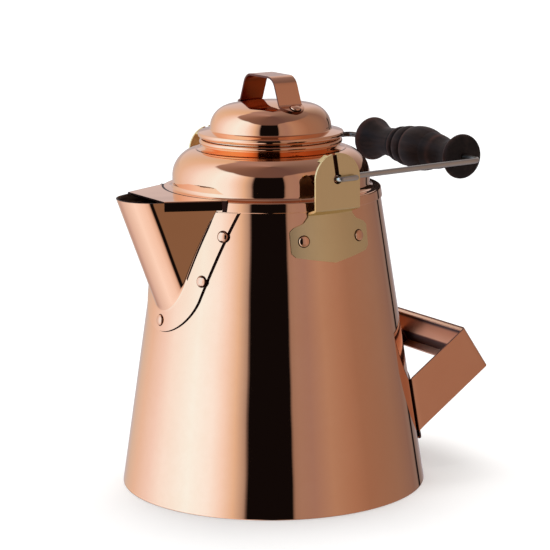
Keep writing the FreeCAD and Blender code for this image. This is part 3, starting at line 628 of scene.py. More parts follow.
# ---- strap knob ----
def knob():
    splay = (KNOB_FOOT_HALF - KNOB_TOP_HALF) / (KNOB_TOP - KNOB_FOOT_Z)
    toe_centre = KNOB_TOE - KNOB_HALF_WIDTH
    leg_z = float(lid_height(KNOB_FOOT_HALF, KNOB_SHEET))
    leg_y = KNOB_TOP_HALF + splay * (KNOB_TOP - leg_z)
    reach = np.linspace(KNOB_TOE, leg_y + 3.2, 22)
    foot = [(y, float(lid_height(y, KNOB_SHEET))) for y in reach]
    path = foot + [(leg_y, leg_z, 1.6), (KNOB_TOP_HALF, KNOB_TOP, KNOB_BEND), (0, KNOB_TOP)]
    half = rounded(path, closed=False, steps=12, gap=0.5)
    whole = np.vstack([half, (half * [-1, 1])[::-1][1:]])
    across = np.linspace(-1, 1, 17)
    rows = []
    for y, z in whole:
        beyond = max(abs(y) - toe_centre, 0.0)
        width = math.sqrt(max(KNOB_HALF_WIDTH ** 2 - beyond ** 2, 0.0)) if z < leg_z + 1 else KNOB_HALF_WIDTH
        x = across * width
        on_foot = ease(abs(y), leg_y + 0.4, leg_y + 2.6) if z < leg_z + 2 else 0.0
        drop = (lid_height(np.hypot(x, y), KNOB_SHEET) - lid_height(abs(y), KNOB_SHEET)) * on_foot
        rows.append(np.stack([x, np.full_like(x, y), z + drop], -1))
    # The knob's inside face takes the dark copper of painted shade, and its cut edges take the dark edge copper
    # of painted shade.
    piece = mesh_object("lid_handle", grid_shape(np.array(rows)), [brushed, inner, painted_edge_shade], inside_out=True)
    thicken(piece, KNOB_SHEET, lined=True, edge=0.12)
    return place(piece, "lid", "copper", "lid_knob")


# ---- spout ----
ARC_SPAN = math.pi / 2 - SPOUT_HALF_ANGLE
NOSE_X = SPOUT_TIP_X + NOSE_RADIUS
WALL_ROWS, CREASE_ROWS, OUTLINE_POINTS = 34, 9, 401
# How many crease rows take a line of painted shade, and the height that line stays below.
CREASE_SHADE_ROWS, CREASE_SHADE_TOP = 6, 184


def rim_point(along):
    """x and y of the spout's rim at a distance along it from the tip; negative is the -Y side."""
    distance, side = abs(along), math.copysign(1, along)
    turn = min(distance / NOSE_RADIUS, ARC_SPAN)
    rest = max(distance - NOSE_RADIUS * ARC_SPAN, 0)
    x = NOSE_X - NOSE_RADIUS * math.cos(turn) + rest * math.cos(SPOUT_HALF_ANGLE)
    y = NOSE_RADIUS * math.sin(turn) + rest * math.sin(SPOUT_HALF_ANGLE)
    return x, side * y


def drop_to_body(x, y):
    """How far below the rim the spout's wall meets the body."""
    top = body_radius(FLANGE_TOP) + SHEET
    a = SPOUT_LEAN ** 2 - WALL_TAPER ** 2
    b = 2 * (SPOUT_LEAN * x - WALL_TAPER * top)
    c = x * x + y * y - top * top
    return (-b - math.sqrt(max(b * b - 4 * a * c, 0))) / (2 * a)


def on_body(y, z, offset):
    """Place over the spout's side of the body."""
    return np.array([-math.sqrt((body_radius(z) + offset) ** 2 - y * y), y, z])


def evenly(points, count):
    """Points evenly spaced along a polyline."""
    points = np.array(points, float)
    length = np.concatenate([[0], np.cumsum(np.linalg.norm(np.diff(points, axis=0), axis=1))])
    places = np.linspace(0, length[-1], count)
    return np.stack([np.interp(places, length, points[:, axis]) for axis in range(points.shape[1])], -1)


def flange_outline():
    """Edge of the riveted flange from corner to corner, as y and z, evenly spaced."""
    (corner_y, corner_z), (knee_y, knee_z) = SPOUT_FLANGE_CORNER, SPOUT_FLANGE_KNEE
    outline = [(-corner_y, corner_z), (-knee_y, knee_z)]
    outline += arc_through((-knee_y, knee_z), (0, SPOUT_FLANGE_LOW), (knee_y, knee_z), 40)[1:]
    return evenly(outline + [(corner_y, corner_z)], OUTLINE_POINTS)


def down_wall(x, y, drop):
    """Points down the spout's leaning wall from its rim."""
    return [(x + SPOUT_LEAN * t, y, FLANGE_TOP - t) for t in np.linspace(0, drop, WALL_ROWS)]


def flange_edge_shade(outline):
    """Painted shade: a dark strip along the line where the flange's edge meets the body."""
    middle = np.array([0.0, SPOUT_FLANGE_KNEE[1] + 30])
    seam = []
    for point in outline[::4]:
        away = (point - middle) / np.linalg.norm(point - middle)
        seam.append([on_body(*(point + away * reach), off) for reach, off in (
            (-0.6, 0.02), (-0.6, 0.16), (0.55, 0.16), (0.6, 0.02))])
    return mesh_object("spout_edge_shade", grid_shape(np.array(seam), wrap=True), [painted_shade])


def spout():
    reach = np.linspace(30, 75, 2000)
    drops = np.array([drop_to_body(*rim_point(s)) for s in reach])
    end = float(np.interp(0, -drops, reach))
    edge = float(np.interp(SPOUT_FLANGE_CORNER[1] - FLANGE_TOP, -drops, reach))
    bend = NOSE_RADIUS * ARC_SPAN
    half = np.concatenate([np.linspace(0, bend, 26), np.linspace(bend + 0.5, edge, 34)])
    main = np.concatenate([-half[::-1], half[1:]])
    outline = flange_outline()
    rims = [rim_point(s) for s in main]
    joints = np.array([(y, FLANGE_TOP - drop_to_body(x, y)) for x, y in rims])
    share = np.concatenate([[0], np.cumsum(np.linalg.norm(np.diff(joints, axis=0), axis=1))])
    share /= share[-1]
    places = np.linspace(0, 1, OUTLINE_POINTS)
    outer = np.stack([np.interp(share, places, outline[:, k]) for k in (0, 1)], -1)
    columns = []
    for s, (x, y), joint, far in zip(main, rims, joints, outer):
        fillet = 0.25 + 0.7 * (1 - ease(abs(s), edge - 9, edge))
        column = [np.array(point) for point in down_wall(x, y, FLANGE_TOP - joint[1] - fillet)]
        corner = on_body(joint[0], joint[1], FLANGE_STANDS)
        start = joint + (far - joint) / np.linalg.norm(far - joint) * fillet
        foot, wall_foot = on_body(*start, FLANGE_STANDS), column[-1]
        steps = np.linspace(0, 1, CREASE_ROWS)[1:]
        column += [wall_foot * (1 - t) ** 2 + corner * 2 * t * (1 - t) + foot * t * t for t in steps]
        column += [on_body(*(start * (1 - t) + far * t), FLANGE_STANDS) for t in steps]
        columns.append(column)
    shapes = [grid_shape(np.array(columns))]
    for side in (-1, 1):
        strip = []
        for s in np.linspace(edge, end, 5):
            x, y = rim_point(side * s)
            strip.append(down_wall(x, y, max(drop_to_body(x, y), 0.02) - (0.25 if s == edge else 0)))
        strip = np.array(strip)
        shapes.append(grid_shape(strip if side > 0 else strip[::-1]))
    piece = mesh_object("spout_sheet", joined(shapes), [polished, lining, painted_shade], inside_out=True)
    rows_down = len(columns[0]) - 1
    for index in range(len(shapes[0][1])):
        column, down = divmod(index, rows_down)
        # Painted shade: a dark line on the crease between the wall and the flange, away from the nose and below
        # a height.
        beside = abs(main[column]) > bend + 3 and joints[column][1] < CREASE_SHADE_TOP
        if WALL_ROWS <= down <= WALL_ROWS + CREASE_SHADE_ROWS and beside:
            piece.data.polygons[index].material_index = 2
    thicken(piece, SHEET, lined=True, edge=0.1)
    settle(piece)
    merge(piece, flange_edge_shade(outline), 2)
    return place(piece, "kettle", "copper", "spout_shell")


COVER_ROWS, COVER_TAB_STEPS = 24, 4
COVER_SHEET, COVER_SHADE_ARC_HALF = 0.96, 0.7


def half_width(x):
    """Half of the spout cover's width at a distance along X."""
    run = (x - NOSE_X) * math.sin(SPOUT_HALF_ANGLE) + NOSE_RADIUS
    return run / math.cos(SPOUT_HALF_ANGLE) + SHEET


def cover_fold_shade(side, top, low):
    """Painted shade: a dark block at the end of the cover's fold, against the shoulder's skirt."""
    skirt = body_radius(FLANGE_TOP) + SHEET
    reach = np.linspace(half_width(COVER_SIDE_REAR) - 0.4, half_width(COVER_SIDE_REAR) + 2.0, COVER_TAB_STEPS)
    corners = [(-math.sqrt((skirt + off) ** 2 - y * y), side * y, z)
               for y in reach for z in (top - 0.3, low - 0.8) for off in (0.05, 1.0)]
    faces = []
    for a in range(0, 4 * (COVER_TAB_STEPS - 1), 4):
        b = a + 4
        faces += [(a, a + 1, b + 1, b), (a + 2, b + 2, b + 3, a + 3)]
        faces += [(a, b, b + 2, a + 2), (a + 1, a + 3, b + 3, b + 1)]
    return np.array(corners), faces + [(0, 2, 3, 1), (12, 13, 15, 14)]


def cover():
    """Plate over the spout: a flat top cut to the dome, folded down over the spout's sides."""
    top, bend, dome = FLANGE_TOP + SHEET, 1.0, DOME_FOOT - 0.2
    low = top - COVER_FOLD - 1.0
    meets = math.sqrt(dome ** 2 - COVER_REAR ** 2)
    front, rear = half_width(COVER_FRONT) - bend, half_width(COVER_REAR) - bend
    near = meets / rear
    shares = np.concatenate([np.linspace(-1, -near, 7)[:-1], np.linspace(-near, near, 33),
                             np.linspace(near, 1, 7)[1:]])
    rounds = np.radians(np.linspace(90, 0, 6))[1:]
    fine = np.linspace(0, 1, 400)
    tops, downs = [], []
    for u in shares:
        behind = COVER_REAR if abs(u) * rear >= meets else -math.sqrt(dome ** 2 - (u * rear) ** 2)

        def on_top(v):
            return COVER_FRONT + v * (behind - COVER_FRONT), u * (front + v * (rear - front))

        seam = [-COVER_SHADE_ARC - COVER_SHADE_ARC_HALF, COVER_SHADE_ARC_HALF - COVER_SHADE_ARC]
        before, after = np.interp(seam, -np.hypot(*on_top(fine)), fine)
        downs.append(np.concatenate([np.linspace(0, before, COVER_ROWS), np.linspace(after, 1, 5)]))
        tops.append([(*on_top(v), top) for v in downs[-1]])
    rows = []
    for row, v in zip(zip(*tops), downs[0]):
        folds = {}
        for sign in (1, -1):
            fold = folds[sign] = []
            for turn in rounds:
                share = math.cos(turn)
                x = COVER_FRONT + v * (COVER_REAR + (COVER_SIDE_REAR - COVER_REAR) * share - COVER_FRONT)
                z = top - bend + bend * math.sin(turn)
                fold.append((x, sign * (half_width(x) - bend * (1 - share)), z))
            x = COVER_FRONT + v * (COVER_SIDE_REAR - COVER_FRONT)
            fold += [(x, sign * half_width(x), z) for z in np.linspace(top - bend, low, 8)[1:]]
        rows.append(folds[-1][::-1] + list(row) + folds[1])
    piece = mesh_object("spout_lid_plate", grid_shape(np.array(rows)), [polished, lining, painted_shade],
                        inside_out=True)
    across = len(rows[0]) - 1
    beside = (across - len(shares) + 1) // 2
    # Painted shade: a dark arc across the cover's top, 67 mm from the axis.
    for column in range(beside, across - beside):
        piece.data.polygons[(COVER_ROWS - 1) * across + column].material_index = 2
    thicken(piece, COVER_SHEET, lined=True, edge=0.12)
    settle(piece)
    tabs = joined([cover_fold_shade(side, top, low) for side in (-1, 1)])
    merge(piece, mesh_object("cover_fold_shades", tabs, [painted_shade]), 2)
    return place(piece, "kettle", "copper", "spout_cover")


# ---- ears ----
def ear_half_width(z):
    """Half of the ear's width at a height of its flat pattern."""
    places = [EAR_FOOT_POINT, EAR_FOOT_LOW, EAR_FOOT_LOW + EAR_CORNER, EAR_FOOT_HIGH - EAR_CORNER,
              EAR_FOOT_HIGH, EAR_NECK_Z - 0.6, EAR_NECK_Z + EAR_FLARE]
    widths = [0.0, EAR_FOOT_HALF - EAR_CORNER, EAR_FOOT_HALF, EAR_FOOT_HALF, EAR_FOOT_HALF - EAR_CORNER,
              EAR_HALF_WIDTH + EAR_FLARE, EAR_HALF_WIDTH]
    if z > HINGE_Z:
        return math.sqrt(max(EAR_HALF_WIDTH ** 2 - (z - HINGE_Z) ** 2, 0))
    return float(np.interp(z, places, widths))


def ear_surface(x, z):
    """Outer face of the ear on the -Y side: the foot hugs the wall, a joggle leads to the flat plate."""
    hug = np.sqrt((body_radius(np.minimum(z, JOGGLE_LOW)) + EAR_SHEET) ** 2 - x * x)
    return -(hug + (EAR_OUTER_Y - hug) * ease(z, JOGGLE_LOW - 0.6, JOGGLE_HIGH + 0.6))


def ear_shape():
    stations = [(EAR_FOOT_POINT, 9), (EAR_FOOT_LOW, 5), (EAR_FOOT_LOW + EAR_CORNER, 8),
                (EAR_FOOT_HIGH - EAR_CORNER, 11), (EAR_NECK_Z + EAR_FLARE, 15), (JOGGLE_HIGH + 2, 11)]
    heights = []
    for (start, steps), (end, _) in zip(stations, stations[1:] + [(HINGE_Z, 0)]):
        heights += list(np.linspace(start, end, steps, endpoint=False))
    heights += [HINGE_Z + EAR_HALF_WIDTH * math.sin(t) for t in np.linspace(0, math.pi / 2, 26)]
    rows = []
    for z in heights:
        x = np.linspace(-1, 1, 33) * ear_half_width(z)
        rows.append(np.stack([x, ear_surface(x, z), np.full_like(x, z)], -1))
    return grid_shape(np.array(rows))


def tab_shape():
    """The small tab on the plate's round edge, folded towards the kettle."""
    half = TAB_WIDTH / 2
    depth = [(0.0, 0.0), (0.5, 0.12), (0.9, 0.5), (1.0, 1.1), (1.0, TAB_DEPTH)]
    radius = EAR_HALF_WIDTH - 1.1
    points = []
    for out, inward in depth:
        row = []
        r = radius + out
        for t in np.linspace(-half, half, 5):
            x = r * math.cos(TAB_ANGLE) - t * math.sin(TAB_ANGLE)
            z = HINGE_Z + r * math.sin(TAB_ANGLE) + t * math.cos(TAB_ANGLE)
            row.append((x, -EAR_OUTER_Y + inward, z))
        points.append(row)
    return grid_shape(np.array(points))


def ear_shade(name, side):
    """Painted shade: a dark strip behind the ear's slot and a dark washer round the wire's hole."""
    face = EAR_OUTER_Y - EAR_SHEET
    behind = (side * (face - 0.02), side * (face - 0.22))
    strip = box_shape((-1.9, 1.9), behind, (3.2, EAR_HALF_WIDTH - 1.2))
    strip = moved(strip, Matrix.Translation((0, 0, HINGE_Z)) @ Matrix.Rotation(-SLOT_LEAN, 4, "Y"))
    bore, rim = WIRE_RADIUS + 0.25, EAR_HOLE + 1.0
    washer = moved(turned([(bore, 0.02), (rim, 0.02), (rim, 0.2), (bore, 0.2)], 40),
                   frame_at((0, side * face, HINGE_Z), (0, -side, 0)))
    return mesh_object(name + "_shade", joined([strip, washer]), [painted_shade])


def ear(name, side, node):
    plate, tab = ear_shape(), tab_shape()
    hole = moved(turned([(0, -6), (EAR_HOLE, -6), (EAR_HOLE, 6), (0, 6)], 48),
                 frame_at((0, -EAR_OUTER_Y, HINGE_Z), (0, 1, 0)))
    lean = Matrix.Translation((0, -EAR_OUTER_Y, HINGE_Z)) @ Matrix.Rotation(-SLOT_LEAN, 4, "Y")
    half = SLOT_WIDTH / 2
    slot = moved(box_shape((-half, half), (-6.0, 6.0), (1.0, 24.0)), lean)
    if side > 0:
        plate, tab, hole, slot = (mirrored(shape) for shape in (plate, tab, hole, slot))
    # The left ear's back face takes the dark brass of painted shade.
    piece = mesh_object(name, plate, [brass, brass if side > 0 else brass_back_shade, brass], inside_out=False)
    thicken(piece, EAR_SHEET, lined=True)
    settle(piece)
    cut_away(piece, hole)
    cut_away(piece, slot)
    soften(piece, 0.28)
    settle(piece)
    fold = mesh_object(name + "_fold", tab, [brass], inside_out=True)
    thicken(fold, EAR_SHEET * 0.8, edge=0.2)
    settle(fold)
    merge(piece, fold)
    piece.data.materials.append(painted_shade)
    merge(piece, ear_shade(name, side), len(piece.data.materials) - 1)
    return place(piece, "kettle", "brass", node)


# ---- strap handle ----
def back_to_body(q, y):
    """Distance from the strap's outer plane back to the body, at a place across its width."""
    corner, out, across = strap_axes()
    start = corner + across * q
    top = body_radius(start[2])
    slope = WALL_TAPER * out[2]
    a = out[0] ** 2 - slope ** 2
    b = -2 * (out[0] * start[0] + slope * top)
    c = start[0] ** 2 + y * y - top * top
    return (-b - math.sqrt(b * b - 4 * a * c)) / (2 * a)


def strap_point(q, back, y):
    """Place at a distance across the strap, back from its outer plane, and along Y."""
    corner, out, across = strap_axes()
    return corner + across * q - out * back + np.array([0, y, 0])


def strap_lip(q, inward, depth):
    """Lip folded inwards along an edge of the strap's bar."""
    reach = STRAP_HALF_SPAN - STRAP_SHEET - 0.1
    root = STRAP_SHEET - 0.3
    corners = [(0, root), (0, depth), (STRAP_SHEET, depth), (STRAP_SHEET, root)]
    profile = rounded([(q + inward * a, b, 0.15) for a, b in corners], steps=2)
    count = len(profile)
    points = np.array([strap_point(a, b, y) for y in (-reach, reach) for a, b in profile])
    faces = [(i, (i + 1) % count, count + (i + 1) % count, count + i) for i in range(count)]
    return points, faces + [tuple(range(count)), tuple(range(2 * count - 1, count - 1, -1))]


def strap():
    """Strap bent to a U, with a folded lip along each edge of its bar and a riveted tab at each end."""
    span = STRAP_HALF_SPAN
    columns = []
    for q in np.linspace(0, STRAP_WIDTH, 15):
        below = STRAP_TAB_DROP * (q / STRAP_WIDTH) ** 3
        flat = [(back_to_body(q + below, y), y) for y in np.linspace(span - STRAP_TAB, span - 6.0, 9)]
        root = back_to_body(q, span)
        turn = [flat[-1], (root, span, STRAP_ROOT_BEND), (root - 7, span)]
        turn = rounded(turn, closed=False, steps=8, gap=9)[1:]
        run = [(b, span) for b in np.linspace(root - 7, STRAP_BEND + 1.5, 16)[1:]]
        bar = [run[-1], (0, span, STRAP_BEND), (0, span - 8)]
        bar = rounded(bar, closed=False, steps=8, gap=9)[1:]
        rest = [(0, y) for y in np.linspace(span - 8, 0, 14)[1:]]
        fade = 1 - ease(np.linspace(0, 1, len(turn)), 0, 1)
        half = [strap_point(q + below, b, -y) for b, y in flat]
        half += [strap_point(q + below * f, b, -y) for (b, y), f in zip(turn, fade)]
        half = np.array(half + [strap_point(q, b, -y) for b, y in [*run, *bar, *rest]])
        columns.append(np.vstack([half, (half * [1, -1, 1])[::-1][1:]]))
    grid = np.array(columns)
    materials = [brushed, shaded, painted_shade, lit_satin, painted_edge_shade]
    piece = mesh_object("strap_handle", grid_shape(grid), materials, inside_out=True)
    bend_from, bend_to, last = len(flat), len(flat) + len(turn) - 4, grid.shape[1] - 2
    # Painted shade: the bends by the strap's roots take the near-black copper.
    for index, polygon in enumerate(piece.data.polygons):
        along = index % (grid.shape[1] - 1)
        if bend_from <= min(along, last - along) < bend_to:
            polygon.material_index = materials.index(painted_shade)
    thicken(piece, STRAP_SHEET, lined=True, edge=0.14)
    settle(piece)
    # The folded lips take the lighter copper of painted highlight.
    lips = joined([strap_lip(0.0, 1, STRAP_LIP_TOP), strap_lip(STRAP_WIDTH, -1, STRAP_LIP_LOW)])
    merge(piece, mesh_object("strap_lips", lips, [lit_satin]), materials.index(lit_satin))
    return place(piece, "kettle", "copper", "rear_handle")


# ---- bail and grip ----
def leaning_up():
    """Matrix that leans a level bail part up to where the bail rests."""
    hinge = Matrix.Translation((0, 0, HINGE_Z))
    return hinge @ Matrix.Rotation(-BAIL_REST, 4, "Y") @ hinge.inverted()


def bail():
    turn = (BAIL_END_Y - BAIL_ARM_Y) / 2
    middle = (BAIL_END_Y + BAIL_ARM_Y) / 2
    end = [(x, -BAIL_END_Y) for x in np.linspace(BAIL_END_X - WIRE_RADIUS, turn, 6)]
    hook = circle_arc((turn, -middle), turn, -90, -270, 18)[1:]
    arm = [(x, -BAIL_ARM_Y) for x in np.linspace(turn, BAIL_REACH - BAIL_CORNER, 30)[1:]]
    centre = (BAIL_REACH - BAIL_CORNER, -BAIL_ARM_Y + BAIL_CORNER)
    corner = circle_arc(centre, BAIL_CORNER, -90, 0, 12)[1:]
    bar = [(BAIL_REACH, y) for y in np.linspace(-BAIL_ARM_Y + BAIL_CORNER, 0, 24)[1:]]
    half = np.array(end + hook + arm + corner + bar)
    flat = np.vstack([half, (half * [1, -1])[::-1][1:]])
    path = np.column_stack([flat, np.full(len(flat), HINGE_Z)])
    piece = mesh_object("bail_rod", moved(tube(path, WIRE_RADIUS), leaning_up()), [steel], sharp=60)
    return place(piece, "bail", "steel_wire", "bail_wire")


# Turned profile of the grip: distance from its middle, positive on the near side, and radius.
# Each bead has a start, a crest and an end.
FAR_NECK = [(-48.4, 14.0), (-42.2, 11.4), (-34.0, 9.1), (-25.7, 9.4), (-18.7, 10.2)]
NEAR_NECK = [(26.2, 10.7), (30.8, 9.6), (37.0, 9.2), (43.7, 11.2), (48.8, 13.9)]
BEADS = [((-18.2, 10.9), (-15.4, 11.6), (-12.3, 9.9)), ((-11.4, 12.0), (-7.0, 12.9), (-2.0, 11.5)),
         ((-1.1, 13.3), (5.5, 14.1), (18.1, 11.9))]
GROOVES = (-18.7, -11.9, -1.6)
# Marks on the grip: place along it, width and strength.
WORN = [(groove + 1.6, 1.3, 0.8) for groove in GROOVES]
WORN += [(26.0, 1.6, 0.9), (-48.0, 1.8, 0.7), (48.5, 1.8, 0.6)]
# The next list is painted shade: darker wood just before each groove, past the last bead and on the grip's near
# end.
PAINTED_SHADE_MARKS = [(groove - 0.8, 1.8, 0.9) for groove in GROOVES] + [(21.0, 2.5, 0.4), (54.0, 2.6, 0.8)]


def grip():
    profile = arc_through((-GRIP_HALF_LENGTH, 11.0), (0.9 - GRIP_HALF_LENGTH, 13.2), FAR_NECK[0], 8)
    profile += [tuple(point) for point in smooth_through(FAR_NECK)[1:]]
    for start, crest, finish in BEADS:
        profile += [(start[0] - 0.7, profile[-1][1] - 0.7), (start[0] - 0.2, start[1] - 1.2)]
        profile += [(start[0] - 0.05, start[1] - 0.3)]
        profile += arc_through(start, crest, finish, 14)
    profile += [tuple(point) for point in smooth_through([BEADS[-1][2], *NEAR_NECK])[1:]]
    end = GRIP_HALF_LENGTH
    profile += arc_through(NEAR_NECK[-1], (end - 0.7, 13.0), (end, 11.0), 8)[1:]
    profile += [(end, GRIP_BORE + 0.6), (end - 0.6, GRIP_BORE)]
    profile += [(-end + 0.6, GRIP_BORE), (-end, GRIP_BORE + 0.6)]
    around = held([(radius, along) for along, radius in profile], gap=0.3)
    shape = turned(around, 128)
    stand = leaning_up() @ frame_at((BAIL_REACH, GRIP_CENTRE_Y, HINGE_Z), (0, -1, 0))
    piece = mesh_object("turned_grip", moved(shape, stand), [wood], sharp=30)
    along = np.array([GRIP_CENTRE_Y - vertex.co.y / MM for vertex in piece.data.vertices])
    for name, marks in (("wear", WORN), ("painted_shade_marks", PAINTED_SHADE_MARKS)):
        bands = [most * np.exp(-((along - middle) / wide) ** 2) for middle, wide, most in marks]
        amount = np.max(bands, axis=0)
        attribute = piece.data.attributes.new(name, "FLOAT", "POINT")
        attribute.data.foreach_set("value", amount.astype(np.float32))
    return place(piece, "grip", "dark_wood", "wood_grip")


# ---- rivets ----
def rivet_shape(grip_length):
    """A hammered rivet with a ring of painted shade round its head: button, shank, and the tail set over its
    burr.
    """
    face, ball = HEAD_RADIUS - 0.75, 7.0
    drop = ball - math.sqrt(ball ** 2 - face ** 2)
    dome = circle_arc((0, HEAD_HEIGHT - ball), ball, 90, 90 - math.degrees(math.asin(face / ball)), 8)
    dome += circle_arc((face, HEAD_HEIGHT - drop - 0.75), 0.75, 68, 0, 5)
    tail = -(grip_length + BURR)
    lower = [(HEAD_RADIUS - 0.35, 0.2), (HEAD_RADIUS - 0.35, 0.0), (SHANK_RADIUS, 0.0), (SHANK_RADIUS, tail),
             (TAIL_RADIUS, tail, 0.2), (1.2, tail - TAIL_HEIGHT, 0.4), (0, tail - TAIL_HEIGHT)]
    ring = [(HEAD_RADIUS + out, up) for out, up in ((-0.5, 0.0), (0.5, 0.0), (0.4, 0.12), (-0.5, 0.14))]
    return joined([turned(rounded(dome + lower, gap=0.15), 40), turned(ring, 40)])


def wall_seat(aside, z, offset, facing):
    """Seat and normal of a rivet on the body wall."""
    radius = body_radius(z)
    angle = facing + math.asin(aside / radius)
    normal = np.array([math.cos(angle) * math.cos(TILT), math.sin(angle) * math.cos(TILT), math.sin(TILT)])
    return np.array([radius * math.cos(angle), radius * math.sin(angle), z]) + normal * offset, normal


def rivets(name, seats, grip_length, body, node):
    shapes = [moved(rivet_shape(grip_length), frame_at(seat, normal)) for seat, normal in seats]
    piece = mesh_object(name, joined(shapes), [riveted, painted_shade], sharp=45)
    for polygon in piece.data.polygons:
        gaps = [np.array(polygon.center) / MM - seat for seat, _ in seats]
        height = min(abs(gap @ normal) for gap, (_, normal) in zip(gaps, seats))
        # Painted shade: the thin ring round each head takes the near-black copper.
        if height < 0.22 and min(np.linalg.norm(gap) for gap in gaps) > HEAD_RADIUS - 0.6:
            polygon.material_index = 1
    return place(piece, body, "copper_rivet", node)


def all_rivets():
    through = SHEET * math.cos(TILT)
    spout_seats = [wall_seat(side * y, z, FLANGE_STANDS, math.pi)
                   for y, z in SPOUT_RIVETS for side in ((-1, 1) if y else (1,))]
    rivets("spout_rivet_set", spout_seats, FLANGE_STANDS + through, "kettle", "spout_rivets")
    strap_seats = []
    for side in (-1, 1):
        for step in (-0.5, 0.5):
            q = STRAP_WIDTH / 2 + step * STRAP_RIVET_PITCH
            z = strap_point(q, back_to_body(q, STRAP_RIVET_Y), 0)[2]
            strap_seats.append(wall_seat(side * STRAP_RIVET_Y, z, STRAP_SHEET, 0.0))
    rivets("strap_rivet_set", strap_seats, STRAP_SHEET + through, "kettle", "rear_handle_rivets")
    for name, facing, node in (("ear_rivet_set_l", -math.pi / 2, "left_ear_rivets"),
                               ("ear_rivet_set_r", math.pi / 2, "right_ear_rivets")):
        seats = [wall_seat(side * EAR_RIVET_X, EAR_RIVET_Z, EAR_SHEET, facing) for side in (-1, 1)]
        rivets(name, seats, EAR_SHEET + through, "kettle", node)
    bend = lid_circles()[0]
    aside = KNOB_RIVET_Y - bend[0]
    sink = math.sqrt((LID_BEND + KNOB_SHEET) ** 2 - aside ** 2)
    knob_seats = []
    for side in (-1, 1):
        normal = np.array([0, side * aside, sink])
        seat = np.array([0, side * KNOB_RIVET_Y, bend[1] + sink])
        knob_seats.append((seat, normal / np.linalg.norm(normal)))
    rivets("knob_rivet_set", knob_seats, KNOB_SHEET + SHEET, "lid", "lid_knob_rivets")


for make in (body_wall, base_pan, shoulder, collar, lid, knob, spout, cover, strap, bail, grip, all_rivets):
    make()
ear("ear_l", -1, "left_ear")
ear("ear_r", 1, "right_ear")

for name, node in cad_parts.items():
    if name.endswith("_burrs"):
        node.data.materials.clear()
        node.data.materials.append(riveted)


# ---- studio ----
def by_azimuth(tree, azimuth, stops):
    """Ramp round the horizon. A stop is an angle in degrees, from -Y towards +X, and a value."""
    return ramp(tree, azimuth, [(degrees / 360 + 0.5, value) for degrees, value in stops])


